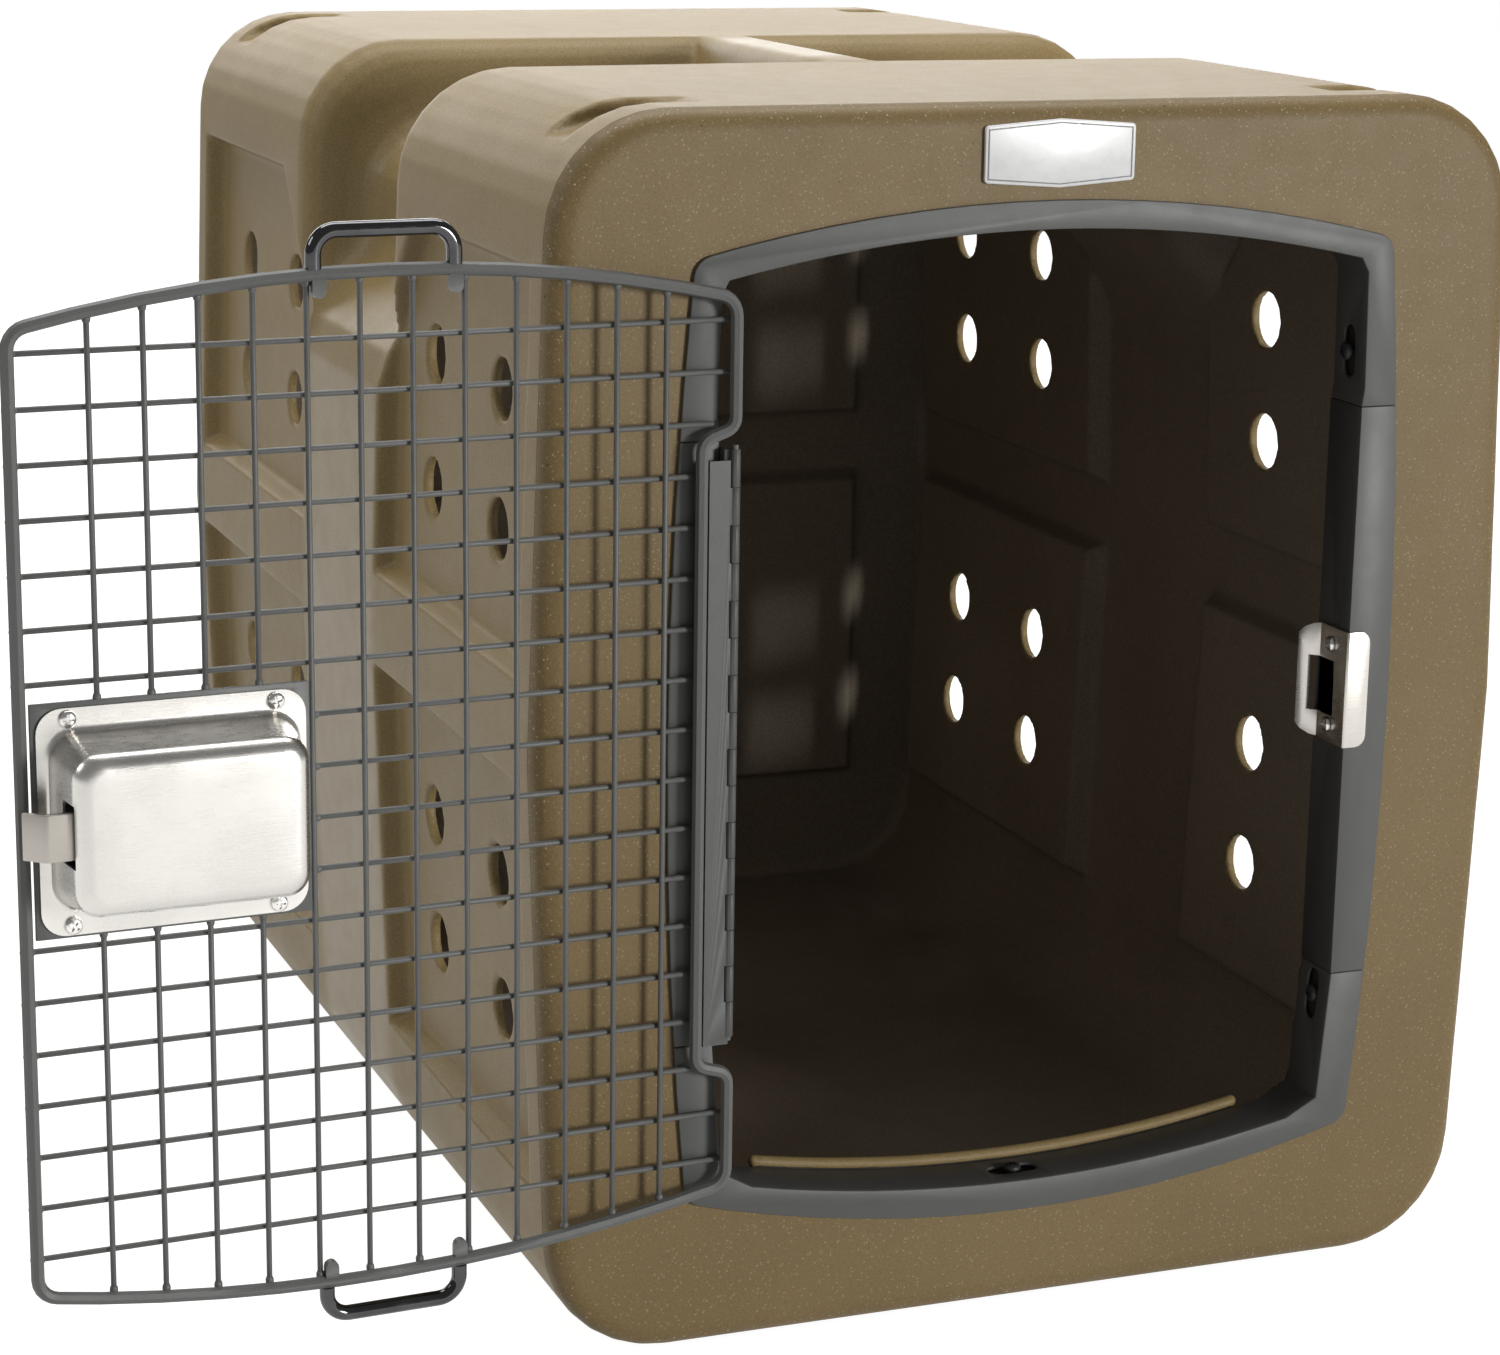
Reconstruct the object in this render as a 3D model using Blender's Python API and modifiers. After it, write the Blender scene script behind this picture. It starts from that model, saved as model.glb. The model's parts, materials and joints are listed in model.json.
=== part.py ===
"""Pet transport carrier: a one-piece moulded shell, a steel door frame, a welded wire door and a slam latch.

Metres, +Z up, +X to the right of someone facing the door, +Y into the carrier. The origin is the centre
of the shell's base. Door pieces are laid out in the door's own plane, (u, h, z): u runs from the hinge pin
to the free side, h from the outside of the door to the inside, and z is height above the floor.
"""

import math

import bmesh
import bpy
from mathutils import Matrix, Vector

GAP = 0.0003  # left between pieces that touch
PAST = 0.010  # how far a cutter runs past what it cuts
MERGE = 0.00001  # how far two solids reach into each other to become one
FAR = 0.7  # further than the carrier reaches
ROUND = 24

# ---- shell ----
LENGTH = 0.762
HEIGHT = 0.635
HALF_BASE = 0.2612  # half widths of the cross-section at the base, at the parting height and at the top
HALF_MID = 0.2717
HALF_TOP = 0.2617
PARTING_Z = 0.316
CROWN = 0.0015
TOP_RADIUS = 0.062
BOTTOM_RADIUS = 0.064
FRONT_ROUND = 0.011
REAR_ROUND = 0.012
WALL = 0.006
FRONT = -LENGTH / 2
REAR = LENGTH / 2

# ---- channel that parts the shell into a front and a rear block ----
CHANNEL_EDGE = 0.266  # where the front block's top starts to fall away, from the front face
CHANNEL_CENTRE = 0.376
CHANNEL_WALL = (
    (0.000, 0.00),
    (0.008, 0.03),
    (0.014, 0.10),
    (0.019, 0.22),
    (0.023, 0.39),
    (0.027, 0.60),
    (0.032, 0.78),
    (0.039, 0.91),
    (0.048, 0.98),
    (0.058, 1.00),
)
CHANNEL_SQUEEZE_Z = 0.500
INNER_SHIFT = 0.005
CHANNEL_DEPTH = 0.048
CHANNEL_SIDE_DEPTH = 0.040
CHANNEL_END_Z = 0.455
CHANNEL_FLARE_Z = 0.535
RIB_HALF = 0.017
RIB_TOP_Z = 0.6346
RIB_FOOT = 0.038
RIB_ROUND = 0.009

# ---- recessed side panels, as (depth from the front face, height) corners ----
PANEL_DEPTH = 0.0125
PANEL_SLOPE = 0.006
UPPER_Z = (0.352, 0.557)
LOWER_Z = (0.086, 0.300)
PANEL_FRONT_Y = (0.032, 0.300)
PANEL_REAR_Y = (0.462, 0.730)
PANEL_CHAMFER = (0.060, 0.075)
REAR_PANEL_HALF = 0.205
VENT_RADIUS = 0.0162
VENT_SIDES = 18
VENT_Y = (0.1107, 0.2299, 0.5358, 0.6552)
VENT_Z = (0.155, 0.229, 0.413, 0.485)

# ---- grooves for tie-down straps across the top corners ----
STRAP_Y = (0.053, 0.709)
STRAP_WIDTH = 0.028
STRAP_START_X = 0.173
STRAP_START_Z = 0.6338
STRAP_FALL = 0.245

# ---- door frame, a bent angle in four pieces ----
FRAME_THICK = 0.002
FLANGE_DEPTH = 0.030
OUT_TOP_Z = 0.586
OUT_TOP_SAG = 0.024
OUT_BOTTOM_Z = 0.0524
OUT_BOTTOM_RISE = 0.0275
OUT_HALF = 0.2035
OUT_SIDE_BOW = 0.012
OUT_CORNER_X = 0.1915
SIDE_MID_Z = 0.320
SIDE_SPAN_Z = 0.242
IN_TOP_Z = 0.5715
IN_BOTTOM_Z = 0.069
IN_BOTTOM_RISE = 0.0196
JAMB_X = 0.178
HEAD_X = 0.1798
SILL_CORNER_X = 0.1722
JOINT_TOP_Z = 0.474
JOINT_LOW_Z = 0.165
CORNER_R = 0.011
INNER_CHAMFER = 0.006
JAMB_DRAFT = 0.0006  # how far the inner flange leans from a jamb to the corner beside it
HEAD_LEAN = 0.0020
HEAD_BEND_HIGH = 0.010
NECK_GAP = 0.003
NECK_WALL = 0.006
NECK_START = 0.003
NECK_END = 0.036
SLOT_LENGTH = 0.028
SLOT_WIDTH = 0.011
SLOT_Y = 0.015
SLOT_HIGH_Z = 0.501
SLOT_LOW_Z = 0.1485
THRESHOLD_HALF = 0.142
THRESHOLD_RISE = 0.0046
THRESHOLD_Y = (0.0312, 0.0372)
THRESHOLD_ROOT = 0.004
THRESHOLD_ROUND = 0.0026

# ---- door ----
PIN_X = -0.1725
PIN_Y = FRONT - 0.0095
OPEN_ANGLE = math.radians(176.87)
ROD_R = 0.00325
WIRE_R = 0.0014
UPRIGHT_H = -0.0020
CROSS_H = -0.0050
WIRE_GAP = 0.0004
DOOR_WIDTH = 0.353
RAIL_TOP_Z = 0.5650
RAIL_TOP_SAG = 0.0205
RAIL_LOW_Z = 0.0717
RAIL_LOW_RISE = 0.0203
RAIL_LOW_MIDDLE = 0.190
RIM_BEND = 0.011
JOG_U = 0.0176
JOG_HIGH = (0.4815, 0.4755)
JOG_LOW = (0.1570, 0.1515)
JOG_BEND = 0.0075
JOG_CLEAR = 0.006
UPRIGHTS = 12
UPRIGHT_FIRST_U = 0.03584
UPRIGHT_PITCH = 0.02551
CROSSES = 18
CROSS_FIRST_Z = 0.1038
CROSS_PITCH = 0.02528
CROSS_START_U = 0.0185
CROSS_JOG_U = 0.0095
CROSS_PAST_RIM = 0.0021

# ---- piano hinge ----
HINGE_Z = (0.171, 0.471)
DOOR_LEAF_Z = (0.1673, 0.4657)
KNUCKLES = 16
KNUCKLE_R = 0.0026
BORE_R = 0.00165
PIN_R = 0.00155
LEAF_THICK = 0.0012
LEAF_H = (GAP, GAP + LEAF_THICK)
FIXED_LEAF_DEPTH = 0.0235
DOOR_LEAF_END_U = JOG_U - ROD_R - GAP
KNUCKLE_CLEAR = 0.0004
LEAF_ROOT = 0.0006
PIN_PROUD = 0.002

# ---- lift handles on the door's rails ----
HANDLE_R = 0.0038
HANDLE_U = (0.1436, 0.2116)
HANDLE_REACH = (0.0190, 0.0175)
HANDLE_FOOT = ROD_R + GAP
HANDLE_BEND = 0.0110
LUG_U = (0.1430, 0.2093)
LUG_HALF = 0.0033
LUG_LONG = 0.0112
LUG_THICK = 0.0044
LUG_ROOT = 0.0012

# ---- latch ----
PLATE_U = (0.2164, 0.3484)
PLATE_Z = (0.262, 0.374)
PLATE_THICK = 0.002
COVER_U = (0.2185, 0.3460)
COVER_Z = (0.2635, 0.3715)
COVER_CORNER = 0.012
DOME_U = (0.2235, 0.3400)
DOME_Z = (0.2770, 0.3600)
DOME_TOP_H = 0.0380
DOME_TAPER = 0.0030
DOME_CORNER = 0.012
DOME_EDGE = 0.0065
SHEET = 0.0012
DISH_U = (0.2360, 0.3260)
DISH_Z = (0.2880, 0.3480)
DISH_RIM = 0.0050
DISH_RIM_CORNER = 0.006
DISH_CLEAR = 0.0010
DISH_DEPTH_H = 0.0140
PADDLE_U = (0.2640, 0.3222)
PADDLE_Z = (0.2905, 0.3455)
PADDLE_H = (-0.0042, -0.0022)
PADDLE_PIVOT_U = 0.3160
PADDLE_PIVOT_H = 0.0010
PADDLE_PIN_R = 0.0015
PADDLE_PIN_PROUD = 0.0008
PADDLE_LIP = 0.0020
PADDLE_BOSS_R = 0.0034
PADDLE_BOSS_IN = 0.0010
ARM_HALF = 0.0020
ARM_HALF_Z = 0.0100
ARM_SLOT_U = (-0.0125, 0.0040)
ARM_SLOT_HALF_Z = 0.0115
ARM_TIP_H = 0.0245
BOLT_Z = 0.3185
BOLT_HALF_Z = 0.0112
BOLT_H = (0.0260, 0.0288)
BOLT_U = (0.2600, 0.3490)
BOLT_TIP_U = 0.3580
BOLT_NOSE_DROP = 0.0068
BOLT_BEND = 0.0045
BOLT_LUG = (0.0030, 0.0085, 0.0090)  # thickness, height and half width of the lug that the arm pushes
BOLT_SLOT_HALF_Z = 0.0150
BOLT_SLOT_H = (0.0180, 0.0320)
COVER_SCREW_U = (0.2330, 0.3312)
COVER_SCREW_Z = (0.2682, 0.3664)
COVER_SHANK = 0.0046

# ---- striker on the latch jamb ----
STRIKER_Z = 0.3225
STRIKER_HALF = 0.0313
STRIKER_THICK = 0.0015
STRIKER_LIP = 0.0118
STRIKER_LEG_END = 0.024
STRIKER_TAB = 0.009
STRIKER_HOLE_Z = (0.3055, 0.3355)
STRIKER_HOLE_Y = (0.0082, 0.0285)
STRIKER_WINDOW_Z = (0.3045, 0.3370)
STRIKER_WINDOW_Y = (0.0065, 0.0295)
STRIKER_POCKET_Z = (0.3042, 0.3390)
STRIKER_POCKET_Y = (0.0035, 0.0315)
STRIKER_POCKET_DEEP = 0.0115
STRIKER_LIP_CORNER = 0.006
STRIKER_TAB_CORNER = 0.011
STRIKER_BEND = 0.0014
STRIKER_SCREW_LONG = 0.016
STRIKER_SHANK = 0.012
STRIKER_SCREW_Y = 0.013
STRIKER_SCREW_Z = (0.3005, 0.3445)
SCREW_HOLE_R = 0.0024
SCREW_HEAD_R = 0.0042
SCREW_HEAD_HIGH = 0.0024
SCREW_WAIST = 0.45  # share of the head's height that is straight
SCREW_CREST_R = 0.0026
SCREW_SHANK_R = 0.0020
CROSS_RECESS = (0.0052, 0.0011, 0.0013)
CROSS_TURN = 22

# ---- badge ----
BADGE_HALF = 0.041
BADGE_Z = 0.6090
BADGE_HALF_HIGH = 0.0140
BADGE_PEAK = 0.0030
BADGE_THICK = 0.002
BADGE_CORNER = 0.002

COLOURS = {
    "sand_plastic": ((0.30, 0.22, 0.13), 0.0, 0.6),
    "grey_coat": ((0.12, 0.125, 0.12), 0.3, 0.5),
    "stainless": ((0.60, 0.58, 0.55), 1.0, 0.35),
    "black_chrome": ((0.06, 0.06, 0.065), 1.0, 0.15),
    "badge_white": ((0.80, 0.80, 0.80), 0.0, 0.4),
    "zinc_steel": ((0.45, 0.45, 0.46), 1.0, 0.4),
}


# ------------------------------------------------------------------ helpers


def clear_scene():
    for obj in list(bpy.data.objects):
        bpy.data.objects.remove(obj, do_unlink=True)


def material(name, kind):
    colour, metal, rough = COLOURS[kind]
    made = bpy.data.materials.new(name)
    made.use_nodes = True
    shader = made.node_tree.nodes["Principled BSDF"]
    shader.inputs["Base Color"].default_value = (*colour, 1.0)
    shader.inputs["Metallic"].default_value = metal
    shader.inputs["Roughness"].default_value = rough
    made.diffuse_color = (*colour, 1.0)
    return made


def object_from(bm, name="scratch"):
    bmesh.ops.recalc_face_normals(bm, faces=bm.faces)
    mesh = bpy.data.meshes.new(name)
    bm.to_mesh(mesh)
    bm.free()
    obj = bpy.data.objects.new(name, mesh)
    bpy.context.collection.objects.link(obj)
    return obj


def drop(obj):
    bpy.data.objects.remove(obj, do_unlink=True)


def bake(obj):
    """Replaces the object's mesh with the one its modifiers make, with doubled points merged."""
    bpy.context.view_layer.update()
    graph = bpy.context.evaluated_depsgraph_get()
    mesh = bpy.data.meshes.new_from_object(obj.evaluated_get(graph))
    bm = bmesh.new()
    bm.from_mesh(mesh)
    bmesh.ops.remove_doubles(bm, verts=bm.verts, dist=2e-6)
    bmesh.ops.dissolve_degenerate(bm, edges=bm.edges, dist=2e-6)
    bm.to_mesh(mesh)
    bm.free()
    if obj.type == "CURVE":
        fresh = bpy.data.objects.new(obj.name, mesh)
        fresh.matrix_world = obj.matrix_world.copy()
        bpy.context.collection.objects.link(fresh)
        drop(obj)
        return fresh
    obj.modifiers.clear()
    obj.data = mesh
    return obj


def boolean(obj, other, operation, keep=False):
    modifier = obj.modifiers.new(operation.lower(), "BOOLEAN")
    modifier.operation = operation
    modifier.solver = "EXACT"
    modifier.object = other
    bake(obj)
    if not keep:
        drop(other)
    return obj


def cut(obj, other, keep=False):
    return boolean(obj, other, "DIFFERENCE", keep)


def join(obj, other):
    return boolean(obj, other, "UNION")


def bevel(obj, width, segments, angle):
    modifier = obj.modifiers.new("bevel", "BEVEL")
    modifier.width = width
    modifier.segments = segments
    modifier.limit_method = "ANGLE"
    modifier.angle_limit = math.radians(angle)
    return bake(obj)


def box(x, y, z):
    """A box given by its (low, high) along each axis."""
    bm = bmesh.new()
    bmesh.ops.create_cube(bm, size=1.0)
    size = Vector((x[1] - x[0], y[1] - y[0], z[1] - z[0]))
    middle = Vector(((x[0] + x[1]) / 2, (y[0] + y[1]) / 2, (z[0] + z[1]) / 2))
    bmesh.ops.scale(bm, vec=size, verts=bm.verts)
    bmesh.ops.translate(bm, vec=middle, verts=bm.verts)
    return object_from(bm)


AXES = {
    "X": lambda a, b, c: (c, a, b),
    "Y": lambda a, b, c: (a, c, b),
    "Z": lambda a, b, c: (a, b, c),
}


def prism(outline, axis, low, high):
    """A flat outline, in the two other axes' order, extruded along an axis."""
    place = AXES[axis]
    bm = bmesh.new()
    face = bm.faces.new([bm.verts.new(place(a, b, low)) for a, b in outline])
    grown = bmesh.ops.extrude_face_region(bm, geom=[face])
    moved = [v for v in grown["geom"] if isinstance(v, bmesh.types.BMVert)]
    bmesh.ops.translate(bm, vec=Vector(place(0, 0, high - low)), verts=moved)
    return object_from(bm)


def loft(first, last):
    """A solid between two outlines of the same number of points in space."""
    bm = bmesh.new()
    ends = []
    for points in (first, last):
        ends.append(bm.faces.new([bm.verts.new(p) for p in points]))
    edges = [e for face in ends for e in face.edges]
    bmesh.ops.bridge_loops(bm, edges=edges)
    return object_from(bm)


def cylinder(radius, start, end, segments=ROUND, end_radius=None):
    start = Vector(start)
    end = Vector(end)
    length = (end - start).length
    turn = Vector((0, 0, 1)).rotation_difference(end - start).to_matrix().to_4x4()
    bm = bmesh.new()
    bmesh.ops.create_cone(
        bm,
        cap_ends=True,
        segments=segments,
        radius1=radius,
        radius2=radius if end_radius is None else end_radius,
        depth=length,
        matrix=Matrix.Translation((start + end) / 2) @ turn,
    )
    return object_from(bm)


def rod(points, radius, closed=False, resolution=2):
    """A round bar along a path, as a mesh."""
    curve = bpy.data.curves.new("path", "CURVE")
    curve.dimensions = "3D"
    curve.bevel_depth = radius
    curve.bevel_resolution = resolution
    curve.use_fill_caps = True
    spline = curve.splines.new("POLY")
    spline.points.add(len(points) - 1)
    for point, place in zip(spline.points, points):
        point.co = (*place, 1.0)
    spline.use_cyclic_u = closed
    obj = bpy.data.objects.new("path", curve)
    bpy.context.collection.objects.link(obj)
    return bake(obj)


def rounded(corners, radii, steps=6, closed=True):
    """A planar path of two coordinates with each corner swapped for an arc of its radius."""
    count = len(corners)
    path = []
    for i, corner in enumerate(corners):
        radius = radii[i] if isinstance(radii, (list, tuple)) else radii
        if radius <= 0 or (not closed and i in (0, count - 1)):
            path.append(tuple(corner))
            continue
        here = Vector(corner)
        back = (Vector(corners[i - 1]) - here).normalized()
        ahead = (Vector(corners[(i + 1) % count]) - here).normalized()
        half = back.angle(ahead) / 2
        reach = radius / math.tan(half)
        centre = here + (back + ahead).normalized() * radius / math.sin(half)
        first = here + back * reach - centre
        sweep = math.pi - 2 * half
        turn = 1 if first.cross(here + ahead * reach - centre) > 0 else -1
        for k in range(steps + 1):
            angle = turn * sweep * k / steps
            c, s = math.cos(angle), math.sin(angle)
            path.append(
                (centre.x + first.x * c - first.y * s, centre.y + first.x * s + first.y * c)
            )
    return path


def grown(corners, by):
    """A polygon with every side moved out by a distance. Corners run anticlockwise."""
    count = len(corners)
    made = []
    for i in range(count):
        here = Vector(corners[i])
        before = (here - Vector(corners[i - 1])).normalized()
        after = (Vector(corners[(i + 1) % count]) - here).normalized()
        normal_a = Vector((before.y, -before.x))
        normal_b = Vector((after.y, -after.x))
        middle = (normal_a + normal_b).normalized()
        made.append(tuple(here + middle * (by / max(0.2, middle.dot(normal_a)))))
    return made


def named(obj, name, kind, smooth=False):
    obj.name = name
    obj.data.name = name
    obj.data.materials.clear()
    obj.data.materials.append(material(name, kind))
    if smooth:
        for polygon in obj.data.polygons:
            polygon.use_smooth = True
        obj.data.set_sharp_from_angle(angle=math.radians(35))
    return obj


# ------------------------------------------------------------------ shell


def side_x(z, inset=0.0):
    """Half width of the shell at a height: the mould's draft runs both ways from the parting height."""
    if z < PARTING_Z:
        share = z / PARTING_Z
        return HALF_BASE + (HALF_MID - HALF_BASE) * share - inset
    share = (z - PARTING_Z) / (HEIGHT - PARTING_Z)
    return HALF_MID + (HALF_TOP - HALF_MID) * share - inset


def smooth_step(share):
    share = min(1.0, max(0.0, share))
    return share * share * (3 - 2 * share)


def cross_section(inset, channel):
    """The shell's outline at one depth. channel is how far it is pinched there, from 0 to 1."""
    flare = [CHANNEL_END_Z + (CHANNEL_FLARE_Z - CHANNEL_END_Z) * k / 4 for k in range(5)]
    right = [(side_x(z), z) for z in [PARTING_Z] + flare]
    corners = [(-HALF_BASE, 0.0), (HALF_BASE, 0.0)] + right
    corners += [(HALF_TOP, HEIGHT - CROWN), (0.0, HEIGHT), (-HALF_TOP, HEIGHT - CROWN)]
    corners += [(-x, z) for x, z in reversed(right)]
    radii = [0.0] * len(corners)
    radii[0] = radii[1] = BOTTOM_RADIUS - inset
    radii[2 + len(right)] = radii[4 + len(right)] = TOP_RADIUS - inset
    outline = []
    for x, z in rounded(grown(corners, -inset), radii, steps=7):
        pinch = CHANNEL_SIDE_DEPTH * channel
        pinch *= smooth_step((z - CHANNEL_END_Z) / (CHANNEL_FLARE_Z - CHANNEL_END_Z))
        pinch *= min(1.0, abs(x) / (HALF_TOP - TOP_RADIUS))
        fall = CHANNEL_DEPTH * channel
        fall *= max(0.0, (z - CHANNEL_SQUEEZE_Z) / (HEIGHT - inset - CHANNEL_SQUEEZE_Z))
        outline.append((x - math.copysign(pinch, x), z - fall))
    return outline


def stations(inset):
    """(depth from the front face, inset, pinch) of each cross-section from the front to the rear."""
    steps = 3
    front = []
    rear = []
    for k in range(steps + 1):
        angle = math.pi / 2 * k / steps
        for rows, radius, start, way in ((front, FRONT_ROUND, 0.0, 1), (rear, REAR_ROUND, LENGTH, -1)):
            small = max(0.003, radius - inset)
            along = inset + small * (1 - math.cos(angle))
            rows.append((start + way * along, inset + small * (1 - math.sin(angle)), 0.0))
    shift = INNER_SHIFT if inset else 0.0
    walls = [(CHANNEL_EDGE + y - shift, inset, share) for y, share in CHANNEL_WALL]
    mirrored = [(2 * CHANNEL_CENTRE - y, rim, share) for y, rim, share in reversed(walls)]
    return front + walls + mirrored + list(reversed(rear))


def skin(rings):
    """A closed solid through rings of the same number of points."""
    bm = bmesh.new()
    rows = [[bm.verts.new(p) for p in ring] for ring in rings]
    for before, after in zip(rows, rows[1:]):
        count = len(before)
        for k in range(count):
            after_k = (k + 1) % count
            bm.faces.new((before[k], before[after_k], after[after_k], after[k]))
    bm.faces.new(rows[0])
    bm.faces.new(list(reversed(rows[-1])))
    return object_from(bm)


def drafted(corners, grow, place):
    """A pocket's cutter: its floor lies at the panel's depth, and its sides slope outwards past the wall."""
    floor = PANEL_DEPTH + grow
    mouth = floor - 2 * PANEL_DEPTH
    inner = [place(a, b, floor) for a, b in grown(corners, grow - PANEL_SLOPE)]
    outer = [place(a, b, mouth) for a, b in grown(corners, grow + PANEL_SLOPE)]
    return loft(inner, outer)


def recess(corners, side, grow):
    """A drafted pocket in a side wall. grow pushes it in and out by the wall, for the cavity's own copy."""
    return drafted(corners, grow, lambda y, z, depth: (side * (side_x(z) - depth), FRONT + y, z))


def rear_recess(corners, grow):
    """The same pocket in the rear wall."""
    return drafted(corners, grow, lambda x, z, depth: (x, REAR - depth, z))


def strap_groove(side, y, grow):
    """A wedge whose floor starts at the top surface and leaves the shell at the rounded corner."""
    near = STRAP_START_X - grow
    top = HEIGHT + PAST
    far_z = STRAP_START_Z - (HALF_MID - STRAP_START_X) * STRAP_FALL
    wedge = [(near, STRAP_START_Z - grow), (HALF_MID, far_z - grow), (HALF_MID, top), (near, top)]
    half = STRAP_WIDTH / 2 + grow
    return prism([(side * x, z) for x, z in wedge], "Y", FRONT + y - half, FRONT + y + half)


def panel_outlines():
    """The four side panels; the upper ones lose the corner next to the channel."""
    cut_y, cut_z = PANEL_CHAMFER
    low, high = UPPER_Z
    front, back = PANEL_FRONT_Y
    upper_front = [(front, low), (back, low), (back, high - cut_z), (back - cut_y, high), (front, high)]
    front, back = PANEL_REAR_Y
    upper_rear = [(front, low), (back, low), (back, high), (front + cut_y, high), (front, high - cut_z)]
    low, high = LOWER_Z
    lowers = []
    for front, back in (PANEL_FRONT_Y, PANEL_REAR_Y):
        lowers.append([(front, low), (back, low), (back, high), (front, high)])
    return [upper_front, upper_rear] + lowers


def body_solid(inset):
    """The shell as a solid, moved in by inset."""
    rings = []
    for y, rim, channel in stations(inset):
        rings.append([(x, FRONT + y, z) for x, z in cross_section(rim, channel)])
    solid = skin(rings)
    half = CHANNEL_CENTRE - CHANNEL_EDGE - CHANNEL_WALL[1][0] / 2
    middle = (FRONT + CHANNEL_CENTRE - half, FRONT + CHANNEL_CENTRE + half)
    foot = HEIGHT - CHANNEL_DEPTH - 2 * WALL
    corners = [(-RIB_FOOT, foot), (RIB_FOOT, foot), (RIB_HALF, RIB_TOP_Z), (-RIB_HALF, RIB_TOP_Z)]
    section = rounded(grown(corners, -inset), [0, 0, RIB_ROUND - inset, RIB_ROUND - inset], steps=4)
    join(solid, prism(section, "Y", *middle))
    for corners in panel_outlines():
        for side in (-1, 1):
            cut(solid, recess(corners, side, inset))
    for y in STRAP_Y:
        for side in (-1, 1):
            cut(solid, strap_groove(side, y, inset))
    for low, high in (LOWER_Z, UPPER_Z):
        half = REAR_PANEL_HALF
        cut(solid, rear_recess([(-half, low), (half, low), (half, high), (-half, high)], inset))
    return solid


def sill_z(x):
    """Height of the sill's upper surface, which rises from the middle to the corners."""
    return IN_BOTTOM_Z + IN_BOTTOM_RISE * (x / SILL_CORNER_X) ** 2


def inner_edge(by=0.0, steps=10):
    """The door opening's outline as (x, z), moved out by a distance; it bows at the head and the sill."""
    path = []
    for k in range(steps * 2 + 1):
        x = -SILL_CORNER_X + 2 * SILL_CORNER_X * k / (steps * 2)
        path.append((x, sill_z(x)))
    low_corner_z = sill_z(SILL_CORNER_X) + INNER_CHAMFER
    path[0] = (-SILL_CORNER_X - JAMB_DRAFT, low_corner_z)
    path[-1] = (SILL_CORNER_X + JAMB_DRAFT, low_corner_z)
    path.append((JAMB_X, JOINT_LOW_Z))
    path.append((JAMB_X, JOINT_TOP_Z))
    path.append((HEAD_X - JAMB_DRAFT, JOINT_TOP_Z + HEAD_BEND_HIGH))
    corner_z = IN_TOP_Z - OUT_TOP_SAG * (HEAD_X / OUT_CORNER_X) ** 2
    path.append((HEAD_X - HEAD_LEAN, corner_z - INNER_CHAMFER))
    for k in range(steps * 2 + 1):
        x = (HEAD_X - INNER_CHAMFER) * (1 - k / steps)
        path.append((x, IN_TOP_Z - OUT_TOP_SAG * (x / OUT_CORNER_X) ** 2))
    path.append((-HEAD_X + HEAD_LEAN, corner_z - INNER_CHAMFER))
    path.append((-HEAD_X + JAMB_DRAFT, JOINT_TOP_Z + HEAD_BEND_HIGH))
    path.append((-JAMB_X, JOINT_TOP_Z))
    path.append((-JAMB_X, JOINT_LOW_Z))
    return grown(path, by) if by else path


def outer_edge(steps=8):
    """The frame's outside outline: all four sides bow outwards."""
    arcs = []
    for k in range(1, steps * 2):
        x = -OUT_CORNER_X + 2 * OUT_CORNER_X * k / (steps * 2)
        arcs.append((x, OUT_BOTTOM_Z + OUT_BOTTOM_RISE * (x / OUT_CORNER_X) ** 2))
    low_z = OUT_BOTTOM_Z + OUT_BOTTOM_RISE
    high_z = OUT_TOP_Z - OUT_TOP_SAG
    right = []
    for k in range(1, steps):
        z = low_z + (high_z - low_z) * k / steps
        right.append((OUT_HALF - OUT_SIDE_BOW * ((z - SIDE_MID_Z) / SIDE_SPAN_Z) ** 2, z))
    top = []
    for k in range(1, steps * 2):
        x = OUT_CORNER_X - 2 * OUT_CORNER_X * k / (steps * 2)
        top.append((x, OUT_TOP_Z - OUT_TOP_SAG * (x / OUT_CORNER_X) ** 2))
    left = [(-x, z) for x, z in reversed(right)]
    corners = [(-OUT_CORNER_X, low_z)] + arcs + [(OUT_CORNER_X, low_z)] + right
    corners += [(OUT_CORNER_X, high_z)] + top + [(-OUT_CORNER_X, high_z)] + left
    sharp = {0, len(arcs) + 1, len(arcs) + len(right) + 2, len(arcs) + len(right) + len(top) + 3}
    radii = [CORNER_R if i in sharp else 0 for i in range(len(corners))]
    return rounded(corners, radii, steps=4)


def threshold_ridge():
    """The shell's own rounded lip that stands up behind the sill."""
    steps = 12
    high = []
    low = []
    for k in range(steps + 1):
        x = THRESHOLD_HALF - 2 * THRESHOLD_HALF * k / steps
        high.append((x, sill_z(x) + THRESHOLD_RISE))
        low.append((x, sill_z(x) - NECK_GAP - THRESHOLD_ROOT))
    ridge = prism(list(reversed(low)) + high, "Y", FRONT + THRESHOLD_Y[0], FRONT + THRESHOLD_Y[1])
    return bevel(ridge, THRESHOLD_ROUND, 2, angle=50)


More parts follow.
